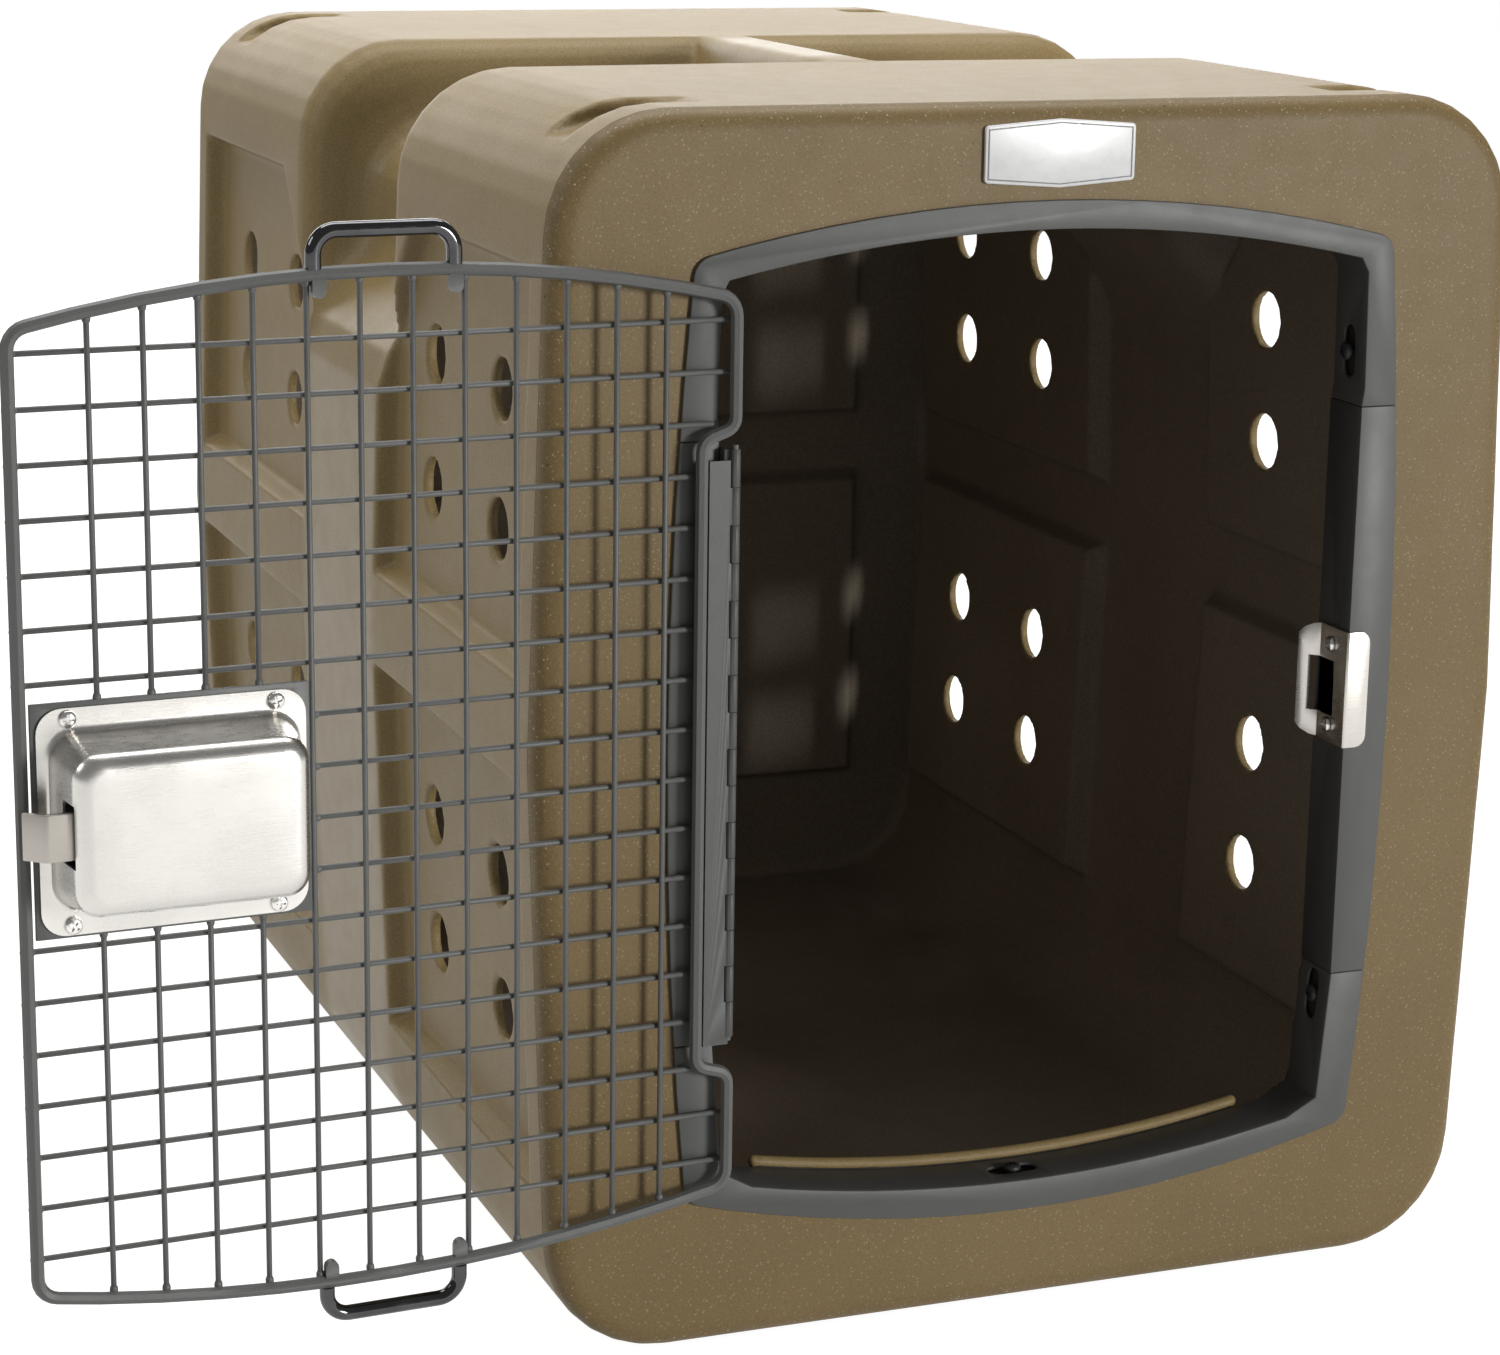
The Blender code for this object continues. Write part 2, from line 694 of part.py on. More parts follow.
def make_shell():
    shell = body_solid(0.0)
    cut(shell, body_solid(WALL))
    neck_out = inner_edge(NECK_GAP + NECK_WALL)
    join(shell, prism(neck_out, "Y", FRONT + NECK_START, FRONT + NECK_END))
    cut(shell, prism(inner_edge(NECK_GAP), "Y", FRONT - PAST, FRONT + NECK_END + PAST))
    join(shell, threshold_ridge())
    reach = HALF_MID + PAST
    for y in VENT_Y:
        for z in VENT_Z:
            cut(shell, cylinder(VENT_RADIUS, (-reach, FRONT + y, z), (reach, FRONT + y, z), VENT_SIDES))
    pocket_y = [FRONT + y for y in STRIKER_POCKET_Y]
    cut(shell, box((JAMB_X, JAMB_X + STRIKER_POCKET_DEEP), pocket_y, STRIKER_POCKET_Z))
    for z in STRIKER_SCREW_Z:
        y = FRONT + STRIKER_SCREW_Y
        cut(shell, cylinder(SCREW_HOLE_R, (JAMB_X, y, z), (JAMB_X + STRIKER_SCREW_LONG, y, z), 12))
    return named(shell, "shell", "sand_plastic", smooth=True)


# ------------------------------------------------------------------ door frame


def stadium(length, width, steps=6):
    straight = (length - width) / 2
    path = []
    for sign in (1, -1):
        for k in range(steps + 1):
            angle = math.radians(-90 + 180 * k / steps) + (0 if sign > 0 else math.pi)
            path.append((sign * straight + width / 2 * math.cos(angle), width / 2 * math.sin(angle)))
    return path


def frame_ring():
    """The whole frame as one angle: a face flange, and an inner flange into the cabin."""
    face_y = (FRONT - GAP - FRAME_THICK, FRONT - GAP)
    ring = prism(outer_edge(), "Y", *face_y)
    inner = prism(inner_edge(FRAME_THICK), "Y", face_y[1] - FRAME_THICK / 2, FRONT + FLANGE_DEPTH)
    join(ring, inner)
    cut(ring, prism(inner_edge(), "Y", FRONT - PAST, FRONT + FLANGE_DEPTH + PAST))
    return ring


def make_frame():
    ring = frame_ring()
    for z in (SLOT_HIGH_Z, SLOT_LOW_Z):
        outline = [(FRONT + SLOT_Y + b, z + a) for a, b in stadium(SLOT_LENGTH, SLOT_WIDTH)]
        cut(ring, prism(outline, "X", -FAR, FAR))
    outline = [(a, FRONT + SLOT_Y + b) for a, b in stadium(SLOT_LENGTH, SLOT_WIDTH)]
    cut(ring, prism(outline, "Z", 0, FAR))
    cut(ring, box((0, FAR), [FRONT + y for y in STRIKER_WINDOW_Y], STRIKER_WINDOW_Z))
    for z in STRIKER_SCREW_Z:
        y = FRONT + STRIKER_SCREW_Y
        cut(ring, cylinder(SCREW_HOLE_R, (JAMB_X - PAST, y, z), (JAMB_X + PAST, y, z), 12))
    gap = GAP / 2
    wide = (FRONT - PAST, FRONT + FLANGE_DEPTH + PAST)
    parts = {
        "frame_head": ((-FAR, FAR), (JOINT_TOP_Z + gap, FAR)),
        "frame_hinge_jamb": ((-FAR, 0), (JOINT_LOW_Z + gap, JOINT_TOP_Z - gap)),
        "frame_latch_jamb": ((0, FAR), (JOINT_LOW_Z + gap, JOINT_TOP_Z - gap)),
        "frame_sill": ((-FAR, FAR), (0, JOINT_LOW_Z - gap)),
    }
    for name, (x, z) in parts.items():
        piece = ring.copy()
        piece.data = ring.data.copy()
        bpy.context.collection.objects.link(piece)
        boolean(piece, box(x, wide, z), "INTERSECT")
        named(piece, name, "grey_coat")
    drop(ring)


def screw(name, head_at, direction, shank):
    """A pan-head cross-recess screw: the head's underside at a point, its top along a direction."""
    head_at = Vector(head_at)
    direction = Vector(direction)
    crest = head_at + direction * SCREW_HEAD_HIGH
    waist = head_at.lerp(crest, SCREW_WAIST)
    inside = head_at.lerp(crest, SCREW_WAIST / 2)
    body = cylinder(SCREW_HEAD_R, head_at, waist, 16)
    join(body, cylinder(SCREW_HEAD_R, waist - direction * MERGE, crest, 16, SCREW_CREST_R))
    join(body, cylinder(SCREW_SHANK_R, head_at - direction * shank, inside, 10))
    turn = Vector((0, 0, 1)).rotation_difference(direction).to_matrix().to_4x4()
    turn = turn @ Matrix.Rotation(math.radians(CROSS_TURN), 4, "Z")
    long, thin, deep = CROSS_RECESS
    for size in ((long, thin), (thin, long)):
        slot = box((-size[0] / 2, size[0] / 2), (-size[1] / 2, size[1] / 2), (-deep, deep))
        slot.data.transform(Matrix.Translation(crest) @ turn)
        cut(body, slot)
    return named(body, name, "stainless", smooth=True)


def make_striker():
    """A bent strip: a lip on the frame, a leg along the jamb and a tab that flares into the doorway."""
    face = FRONT - GAP - FRAME_THICK - GAP
    back = JAMB_X - GAP
    lip = JAMB_X + STRIKER_LIP
    bend = FRONT + STRIKER_LEG_END
    tab = STRIKER_TAB
    thick = STRIKER_THICK
    diagonal = thick * (math.sqrt(2) - 1)
    slant = thick * math.sqrt(0.5)
    profile = [
        (lip, face),
        (back, face),
        (back, bend + diagonal),
        (back - tab, bend + tab + diagonal),
        (back - tab - slant, bend + tab - slant + diagonal),
        (back - thick, bend),
        (back - thick, face - thick),
        (lip, face - thick),
    ]
    radii = [0, 0, 0, 0, 0, 0, STRIKER_BEND, 0]
    low = STRIKER_Z - STRIKER_HALF
    high = STRIKER_Z + STRIKER_HALF
    plate = prism(rounded(profile, radii, steps=3), "Z", low, high)
    lip_shape = [(0, low), (lip, low), (lip, high), (0, high)]
    lip_shape = rounded(lip_shape, [0, STRIKER_LIP_CORNER, STRIKER_LIP_CORNER, 0], steps=4)
    boolean(plate, prism(lip_shape, "Y", FRONT - FAR, FRONT + FAR), "INTERSECT")
    end = bend + tab + diagonal
    tab_shape = [(FRONT - PAST, low), (end, low), (end, high), (FRONT - PAST, high)]
    tab_shape = rounded(tab_shape, [0, STRIKER_TAB_CORNER, STRIKER_TAB_CORNER, 0], steps=4)
    boolean(plate, prism(tab_shape, "X", 0, FAR), "INTERSECT")
    cut(plate, box((0, FAR), [FRONT + y for y in STRIKER_HOLE_Y], STRIKER_HOLE_Z))
    for z in STRIKER_SCREW_Z:
        y = FRONT + STRIKER_SCREW_Y
        cut(plate, cylinder(SCREW_HOLE_R, (JAMB_X - PAST, y, z), (JAMB_X + PAST, y, z), 12))
    named(plate, "striker_plate", "stainless", smooth=True)
    for name, z in zip(("striker_screw_low", "striker_screw_high"), STRIKER_SCREW_Z):
        spot = (back - thick - GAP, FRONT + STRIKER_SCREW_Y, z)
        screw(name, spot, (-1, 0, 0), STRIKER_SHANK)


def make_badge():
    half = BADGE_HALF
    high = BADGE_HALF_HIGH
    peak = BADGE_PEAK
    below = [(-half, -high), (0, -high - peak), (half, -high)]
    above = [(half, high), (0, high + peak), (-half, high)]
    corner = BADGE_CORNER
    outline = rounded(below + above, [corner, 0, corner, corner, 0, corner], steps=3)
    placed = [(x, z + BADGE_Z) for x, z in outline]
    plate = prism(placed, "Y", FRONT - GAP - BADGE_THICK, FRONT - GAP)
    named(plate, "badge_plate", "badge_white")


# ------------------------------------------------------------------ door


def door_matrix():
    """From the door's (u, h, z) to the world, with the door standing open."""
    angle = -OPEN_ANGLE
    return Matrix.Translation((PIN_X, PIN_Y, 0)) @ Matrix.Rotation(angle, 4, "Z")


def hang(obj, name, kind, smooth=False):
    """Names a door piece and gives it the hinge pin as its origin."""
    named(obj, name, kind, smooth)
    obj.matrix_world = door_matrix()
    return obj


def rail_top(u):
    middle = DOOR_WIDTH / 2
    return RAIL_TOP_Z - RAIL_TOP_SAG * ((u - middle) / middle) ** 2


def rail_low(u):
    return RAIL_LOW_Z + RAIL_LOW_RISE * ((u - RAIL_LOW_MIDDLE) / RAIL_LOW_MIDDLE) ** 2


def rim_path():
    steps = 12
    top = []
    low = []
    for k in range(1, steps):
        u = DOOR_WIDTH * k / steps
        top.append((u, rail_top(u)))
        low.append((DOOR_WIDTH - u, rail_low(DOOR_WIDTH - u)))
    free_side = [(DOOR_WIDTH, rail_top(DOOR_WIDTH)), (DOOR_WIDTH, rail_low(DOOR_WIDTH))]
    jog = [(0.0, JOG_LOW[1]), (JOG_U, JOG_LOW[0]), (JOG_U, JOG_HIGH[1]), (0.0, JOG_HIGH[0])]
    corners = [(0.0, rail_top(0.0))] + top + free_side + low + [(0.0, rail_low(0.0))] + jog
    bends = {0, steps, steps + 1, 2 * steps + 1}
    jogs = {len(corners) - 4, len(corners) - 3, len(corners) - 2, len(corners) - 1}
    radii = [RIM_BEND if i in bends else (JOG_BEND if i in jogs else 0) for i in range(len(corners))]
    return [(u, 0.0, z) for u, z in rounded(corners, radii, steps=5)]


def make_rim():
    """The bent rod round the door, with a flat lug inside it behind each leg of the two grips."""
    rim = rod(rim_path(), ROD_R, closed=True)
    half = LUG_THICK / 2
    for rail, way in ((rail_top, -1), (rail_low, 1)):
        for u in LUG_U:
            near = rail(u) + way * LUG_ROOT
            end = rail(u) + way * (LUG_LONG - LUG_HALF)
            lug = box((u - LUG_HALF, u + LUG_HALF), (-half, half), (min(near, end), max(near, end)))
            join(rim, lug)
            join(rim, cylinder(LUG_HALF, (u, -half, end), (u, half, end), 12))
    hang(rim, "door_rim", "grey_coat", smooth=True)


def wire(name, start, end):
    hang(cylinder(WIRE_R, start, end, 8), name, "grey_coat", smooth=True)


def make_mesh():
    margin = ROD_R + WIRE_GAP
    for k in range(UPRIGHTS):
        u = UPRIGHT_FIRST_U + UPRIGHT_PITCH * k
        low = rail_low(u) + margin
        high = rail_top(u) - margin
        label = f"mesh_upright_{k + 1:02d}"
        if PLATE_U[0] < u < PLATE_U[1]:
            wire(label + "_low", (u, UPRIGHT_H, low), (u, UPRIGHT_H, PLATE_Z[0] - WIRE_GAP))
            wire(label + "_high", (u, UPRIGHT_H, PLATE_Z[1] + WIRE_GAP), (u, UPRIGHT_H, high))
        else:
            wire(label, (u, UPRIGHT_H, low), (u, UPRIGHT_H, high))
    for k in range(CROSSES):
        z = CROSS_FIRST_Z + CROSS_PITCH * k
        end = DOOR_WIDTH + CROSS_PAST_RIM
        if PLATE_Z[0] < z < PLATE_Z[1]:
            end = PLATE_U[0] + WIRE_GAP
        start = CROSS_START_U
        if z > JOG_HIGH[0] - JOG_CLEAR:
            start = CROSS_JOG_U
        if z > JOG_HIGH[0] + JOG_CLEAR or z < JOG_LOW[1] - JOG_CLEAR:
            start = -ROD_R * 0.3
        wire(f"mesh_cross_{k + 1:02d}", (start, CROSS_H, z), (end, CROSS_H, z))


def knuckled_leaf(plate, owner):
    """Adds every second knuckle to a leaf, clears the other ones and bores the pin's hole."""
    low, high = HINGE_Z
    pitch = (high - low) / KNUCKLES
    for k in range(KNUCKLES):
        z = low + pitch * k
        if k % 2 == owner:
            tube = cylinder(KNUCKLE_R, (0, 0, z + GAP / 2), (0, 0, z + pitch - GAP / 2), 10)
            join(plate, tube)
        else:
            reach = KNUCKLE_R + KNUCKLE_CLEAR
            gap = box((-reach, reach), (-reach, reach), (z - GAP / 2, z + pitch + GAP / 2))
            cut(plate, gap)
    return cut(plate, cylinder(BORE_R, (0, 0, low - PAST), (0, 0, high + PAST), 12))


def make_hinge():
    low, high = HINGE_Z
    door_leaf = box((LEAF_ROOT, DOOR_LEAF_END_U), LEAF_H, DOOR_LEAF_Z)
    hang(knuckled_leaf(door_leaf, 0), "hinge_leaf_door", "grey_coat", smooth=True)
    tangent = KNUCKLE_R - LEAF_THICK
    on_jamb = -JAMB_X - PIN_X + GAP
    leaf = [
        (-LEAF_ROOT, tangent),
        (-LEAF_ROOT, KNUCKLE_R),
        (on_jamb + LEAF_THICK, KNUCKLE_R),
        (on_jamb + LEAF_THICK, FIXED_LEAF_DEPTH),
        (on_jamb, FIXED_LEAF_DEPTH),
        (on_jamb, tangent),
    ]
    fixed = prism(leaf, "Z", low + GAP, high - GAP)
    knuckled_leaf(fixed, 1)
    fixed.matrix_world = Matrix.Translation((PIN_X, PIN_Y, 0))
    named(fixed, "hinge_leaf_fixed", "grey_coat", smooth=True)
    pin = cylinder(PIN_R, (0, 0, low - PIN_PROUD), (0, 0, high + PIN_PROUD), 16)
    pin.matrix_world = Matrix.Translation((PIN_X, PIN_Y, 0))
    named(pin, "hinge_pin", "zinc_steel", smooth=True)


def make_handles():
    """The two grips, each standing on its rail where a lug backs it."""
    near, far = HANDLE_U
    above = ("lift_handle_top", rail_top, 1, HANDLE_REACH[0])
    below = ("lift_handle_low", rail_low, -1, HANDLE_REACH[1])
    for name, rail, way, reach in (above, below):
        bar = rail((near + far) / 2) + way * reach
        feet = [rail(u) + way * HANDLE_FOOT for u in HANDLE_U]
        corners = [(near, feet[0]), (near, bar), (far, bar), (far, feet[1])]
        path = rounded(corners, HANDLE_BEND, steps=6, closed=False)
        grip = rod([(u, 0.0, z) for u, z in path], HANDLE_R)
        hang(grip, name, "black_chrome", smooth=True)


def rounded_rectangle(u, z, corner, steps):
    return rounded([(u[0], z[0]), (u[1], z[0]), (u[1], z[1]), (u[0], z[1])], corner, steps=steps)


def rounded_plate(u, z, h, corner, steps=4):
    return prism(rounded_rectangle(u, z, corner, steps), "Y", *h)


def tapered_box(u, z, h, taper, corner, edge):
    """A pan that narrows towards its far end, with rounded corners and a rounded far edge."""
    near = rounded_rectangle(u, z, corner, 3)
    far = rounded_rectangle((u[0] + taper, u[1] - taper), (z[0] + taper, z[1] - taper), corner, 3)
    solid = loft([(a, h[0], b) for a, b in near], [(a, h[1], b) for a, b in far])
    bm = bmesh.new()
    bm.from_mesh(solid.data)
    ring = [e for e in bm.edges if all(abs(v.co.y - h[1]) < MERGE for v in e.verts)]
    bmesh.ops.bevel(bm, geom=ring, offset=edge, segments=3, profile=0.5, affect="EDGES")
    bmesh.ops.recalc_face_normals(bm, faces=bm.faces)
    bm.to_mesh(solid.data)
    bm.free()
    return solid


def make_latch_cover():
    """The pressed box on the inside of the door."""
    cover = rounded_plate(COVER_U, COVER_Z, (GAP, GAP + SHEET), COVER_CORNER)
    join(cover, tapered_box(DOME_U, DOME_Z, (2 * GAP, DOME_TOP_H), DOME_TAPER, DOME_CORNER, DOME_EDGE))
    hollow_u = (DOME_U[0] + SHEET, DOME_U[1] - SHEET)
    hollow_z = (DOME_Z[0] + SHEET, DOME_Z[1] - SHEET)
    hollow_h = (-PAST, DOME_TOP_H - SHEET)
    cut(cover, tapered_box(hollow_u, hollow_z, hollow_h, DOME_TAPER, DOME_CORNER - SHEET, DOME_EDGE - SHEET))
    slot_z = (BOLT_Z - BOLT_SLOT_HALF_Z, BOLT_Z + BOLT_SLOT_HALF_Z)
    cut(cover, box((DOME_U[1] - PAST, DOME_U[1] + PAST), BOLT_SLOT_H, slot_z))
    for u in COVER_SCREW_U:
        for z in COVER_SCREW_Z:
            cut(cover, cylinder(SCREW_HOLE_R, (u, -PAST, z), (u, PAST, z), 12))
    hang(cover, "latch_cover", "stainless", smooth=True)


def make_latch_plates():
    """The plate that carries the latch on the door, and the dish let into it for the paddle."""
    plate = box(PLATE_U, (-PLATE_THICK, 0.0), PLATE_Z)
    window_u = (DISH_U[0] - DISH_CLEAR, DISH_U[1] + DISH_CLEAR)
    window_z = (DISH_Z[0] - DISH_CLEAR, DISH_Z[1] + DISH_CLEAR)
    cut(plate, box(window_u, (-PAST, PAST), window_z))
    for u in COVER_SCREW_U:
        for z in COVER_SCREW_Z:
            cut(plate, cylinder(SCREW_HOLE_R, (u, -PAST, z), (u, PAST, z), 12))
    hang(plate, "latch_backplate", "grey_coat")
    rim_u = (DISH_U[0] - DISH_RIM, DISH_U[1] + DISH_RIM)
    rim_z = (DISH_Z[0] - DISH_RIM, DISH_Z[1] + DISH_RIM)
    face = -PLATE_THICK - GAP
    dish = rounded_plate(rim_u, rim_z, (face - SHEET, face), DISH_RIM_CORNER, steps=3)
    join(dish, box(DISH_U, (face - SHEET / 3, DISH_DEPTH_H), DISH_Z))
    inner_u = (DISH_U[0] + SHEET, DISH_U[1] - SHEET)
    inner_z = (DISH_Z[0] + SHEET, DISH_Z[1] - SHEET)
    cut(dish, box(inner_u, (-PAST, DISH_DEPTH_H - SHEET), inner_z))
    slot_u = [PADDLE_PIVOT_U + u for u in ARM_SLOT_U]
    slot_z = (BOLT_Z - ARM_SLOT_HALF_Z, BOLT_Z + ARM_SLOT_HALF_Z)
    cut(dish, box(slot_u, (DISH_DEPTH_H - PAST, DISH_DEPTH_H + PAST), slot_z))
    axle = (PADDLE_PIVOT_U, PADDLE_PIVOT_H)
    start = (*axle, DISH_Z[0] - PAST)
    end = (*axle, DISH_Z[1] + PAST)
    cut(dish, cylinder(PADDLE_PIN_R + GAP, start, end, 12))
    hang(dish, "latch_dish", "stainless")


def make_paddle():
    """The finger plate, its boss round the pin and the arm that draws the bolt back, as one casting."""
    plate = box(PADDLE_U, PADDLE_H, PADDLE_Z)
    lip_h = (PADDLE_H[0] - PADDLE_LIP, PADDLE_H[0] + PADDLE_LIP / 2)
    join(plate, box((PADDLE_U[0], PADDLE_U[0] + PADDLE_LIP), lip_h, PADDLE_Z))
    arm_z = (BOLT_Z - ARM_HALF_Z, BOLT_Z + ARM_HALF_Z)
    arm_u = (PADDLE_PIVOT_U - ARM_HALF, PADDLE_PIVOT_U + ARM_HALF)
    root_h = PADDLE_H[1] - PADDLE_LIP / 4
    join(plate, box(arm_u, (root_h, ARM_TIP_H), arm_z))
    boss_low = PADDLE_Z[0] + PADDLE_BOSS_IN
    boss_high = PADDLE_Z[1] - PADDLE_BOSS_IN
    axle = (PADDLE_PIVOT_U, PADDLE_PIVOT_H)
    join(plate, box(arm_u, (root_h, axle[1]), (boss_low, boss_high)))
    join(plate, cylinder(PADDLE_BOSS_R, (*axle, boss_low), (*axle, boss_high), 12))
    bore = PADDLE_PIN_R + GAP / 3
    cut(plate, cylinder(bore, (*axle, boss_low - PAST), (*axle, boss_high + PAST), 12))
    plate.data.transform(Matrix.Translation((-axle[0], -axle[1], 0)))
    named(plate, "latch_paddle", "stainless")
    plate.matrix_world = door_matrix() @ Matrix.Translation((*axle, 0))
    pin_ends = (DISH_Z[0] - PADDLE_PIN_PROUD, DISH_Z[1] + PADDLE_PIN_PROUD)
    pin = cylinder(PADDLE_PIN_R, (*axle, pin_ends[0]), (*axle, pin_ends[1]), 16)
    hang(pin, "paddle_pin", "zinc_steel", smooth=True)


def make_bolt():
    """A flat strip that ends in a nose bent towards the outside, which rides up the striker as it shuts."""
    low, high = BOLT_H
    start, bend = BOLT_U
    drop_h = BOLT_NOSE_DROP
    thick = high - low
    profile = [
        (start, low),
        (bend - thick * 0.35, low),
        (BOLT_TIP_U - thick * 0.75, low - drop_h),
        (BOLT_TIP_U, low - drop_h + thick * 0.35),
        (bend, high),
        (start, high),
    ]
    z = (BOLT_Z - BOLT_HALF_Z, BOLT_Z + BOLT_HALF_Z)
    bolt = prism(rounded(profile, [0, BOLT_BEND, 0, 0, BOLT_BEND, 0], steps=3), "Z", *z)
    lug_right = PADDLE_PIVOT_U - ARM_HALF - GAP
    lug_h = (low - BOLT_LUG[1], low + thick / 3)
    lug_z = (BOLT_Z - BOLT_LUG[2], BOLT_Z + BOLT_LUG[2])
    join(bolt, box((lug_right - BOLT_LUG[0], lug_right), lug_h, lug_z))
    hang(bolt, "latch_bolt", "stainless")


def make_cover_screws():
    seat = GAP + SHEET + GAP
    for column, u in zip(("hinge_side", "free_side"), COVER_SCREW_U):
        for row, z in zip(("low", "high"), COVER_SCREW_Z):
            body = screw(f"cover_screw_{column}_{row}", (u, seat, z), (0, 1, 0), COVER_SHANK)
            body.matrix_world = door_matrix()


clear_scene()
make_shell()
make_frame()
make_striker()
make_badge()
make_hinge()
make_rim()
make_mesh()
make_handles()
make_latch_cover()
make_latch_plates()
make_paddle()
make_bolt()
make_cover_screws()
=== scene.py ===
import json
import math

import bmesh
import bpy
from mathutils import Matrix, Vector


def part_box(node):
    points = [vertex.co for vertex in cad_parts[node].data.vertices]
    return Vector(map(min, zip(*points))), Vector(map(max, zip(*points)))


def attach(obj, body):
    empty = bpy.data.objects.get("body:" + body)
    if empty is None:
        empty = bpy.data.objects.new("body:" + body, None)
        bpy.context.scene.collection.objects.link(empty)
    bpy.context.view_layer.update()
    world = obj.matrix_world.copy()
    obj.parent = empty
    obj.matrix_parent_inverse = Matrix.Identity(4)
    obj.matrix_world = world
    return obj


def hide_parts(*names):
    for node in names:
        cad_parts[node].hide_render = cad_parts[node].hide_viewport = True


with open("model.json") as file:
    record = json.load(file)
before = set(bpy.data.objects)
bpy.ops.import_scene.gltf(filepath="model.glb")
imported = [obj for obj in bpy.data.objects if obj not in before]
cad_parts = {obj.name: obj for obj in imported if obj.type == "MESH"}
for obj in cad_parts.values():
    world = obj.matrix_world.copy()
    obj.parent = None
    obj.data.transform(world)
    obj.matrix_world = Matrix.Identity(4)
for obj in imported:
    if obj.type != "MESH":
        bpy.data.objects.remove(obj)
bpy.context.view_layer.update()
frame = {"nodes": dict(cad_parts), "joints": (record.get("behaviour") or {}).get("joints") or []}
nodes = frame["nodes"]

# ---- places read from the frame ----
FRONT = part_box("shell")[0].y
HALF_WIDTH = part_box("shell")[1].x
SWING = next(joint for joint in frame["joints"] if joint["name"] == "door_swing")
PIN = Vector(SWING["pos_m"])
OPEN_ANGLE = math.radians(SWING["range_deg"][1])
DOOR = Matrix.Translation((PIN.x, PIN.y, 0)) @ Matrix.Rotation(-OPEN_ANGLE, 4, "Z")
DOOR_INVERSE = DOOR.inverted()

# ---- camera, at the photograph's viewing angle ----
CAMERA_PLACE = (-0.7915, -2.0183, 0.7832)
CAMERA_HEADING = -21.104
CAMERA_PITCH = 76.25
CAMERA_ROLL = 0.855
CAMERA_LENS = 87.5
CAMERA_SENSOR = 36.0

# ---- shell ----
SHELL_VOXEL = 0.0022
SHELL_KEEP = 0.085  # the share of the remeshed faces that is kept
SHELL_SOFTEN = 3
VENT_RADIUS = 0.0162
VENT_RIM = 0.0015
VENT_SIDES = 48
VENT_Y = (0.1107, 0.2299, 0.5358, 0.6552)
VENT_Z = (0.155, 0.229, 0.413, 0.485)
DRILL_PAST = 0.03
CHANNEL_Y = FRONT + 0.376
CHANNEL_HALF = 0.075
MOULD_LINE_Y = FRONT + 0.0118
CABIN_FLOOR = Vector((0, 0, 0.02))

# ---- doorway: half its width inside the frame, and the plastic neck that lines it ----
JAMB_X = 0.178
NECK_OUT_X = JAMB_X + 0.006
NECK_IN_X = JAMB_X + 0.004
LIP_END_Y = FRONT + 0.009
NECK_START_Y = FRONT + 0.0045
NECK_END_Y = FRONT + 0.0365
NECK_TOP_Z = 0.58
DOORWAY_TOP_Z = 0.59

# ---- frame screws, in the slots of the frame's inner flange ----
SLOT_Y = FRONT + 0.015
SLOT_Z = (0.1485, 0.501)
SLOT_SCREW_R = 0.0048
SLOT_SCREW_PROUD = 0.0003
SILL_SCREW_Z = 0.0692

# ---- rounding of edges: angles in degrees, the rest in metres ----
WELD = 1e-5
FLAT_ANGLE = 0.8  # faces that meet flatter than this are one face
EDGE_ANGLE = 32.0  # edges sharper than this are rounded
FRAME_EDGE = 0.0007
LATCH_JAMB_EDGE = 0.0003  # finer, because the strip behind the bolt's window is only 0.5 mm wide
LEAF_EDGE = 0.00025
PRESSED_EDGE = 0.0006
LATCH_EDGE = 0.0005

# ---- threshold bead ----
SILL_LOW_Z = 0.069
SILL_RISE = 0.0196
SILL_HALF = 0.1722
THRESHOLD_HALF = 0.1402
THRESHOLD_Y = FRONT + 0.0342
THRESHOLD_RADIUS = 0.0034
THRESHOLD_UP = 0.0016
THRESHOLD_STEPS = 48
THRESHOLD_SIDES = 16
THRESHOLD_DOME = 3  # rings in each domed end

# ---- striker and badge ----
SMALL_SCREW_R = 0.0042
STRIKER_FACE = 0.0021  # from the jamb to where the screw heads sit
BADGE_PEAK = 0.003
BORDER_INSET = (0.0016, 0.0022)
BORDER_PROUD = (0.00002, 0.00025)

# ---- wires and welds ----
WIRE_SIDES = 14
WIRE_EASE = 0.35
RAIL_WELD = (0.0028, 0.0021, 0.0021)  # half length, half width and height of a mound
CROSS_WELD = (0.0026, 0.0019, 0.0016)
CROSS_WELD_BACK = 0.0045
CROSS_WELD_UP = 0.0012

# ---- lift handles ----
HANDLE_BEND = 0.0110
HANDLE_SINK = 0.0012  # how far a grip's ends run into the rail they are welded to
HANDLE_SIDES = 24
HANDLE_STEPS = 12

# ---- latch cover, in the door's plane ----
SHEET = 0.0012
FLANGE_H = 0.0015
COVER_CORNER = 0.012
LEAST_CORNER = 1e-4
DOME_U = (0.2235, 0.3400)
DOME_Z = (0.2770, 0.3600)
DOME_HIGH = 0.0380
DOME_CORNER = 0.013
DOME_EDGE = 0.0085
DOME_FILLET = 0.0035
DOME_DRAFT = 0.0030
DOME_TOP_CORNER = 0.005
DOME_CLEAR = 0.0008  # the least flange left beside the dome's foot
TOP_RINGS = (0.7, 0.35)
BOLT_SLOT_Z = (0.3035, 0.3335)
BOLT_SLOT_H = (0.0180, 0.0320)
BOLT_SLOT_REACH = (0.012, 0.010)
COVER_SCREW_H = 0.0016

# ---- screws: all but the shank's length are shares of the head's radius ----
HEAD_HIGH = 0.62
RECESS_LONG = 0.62
RECESS_THIN = 0.15
SHANK_THICK = 0.5
SHANK_LONG = 0.0025

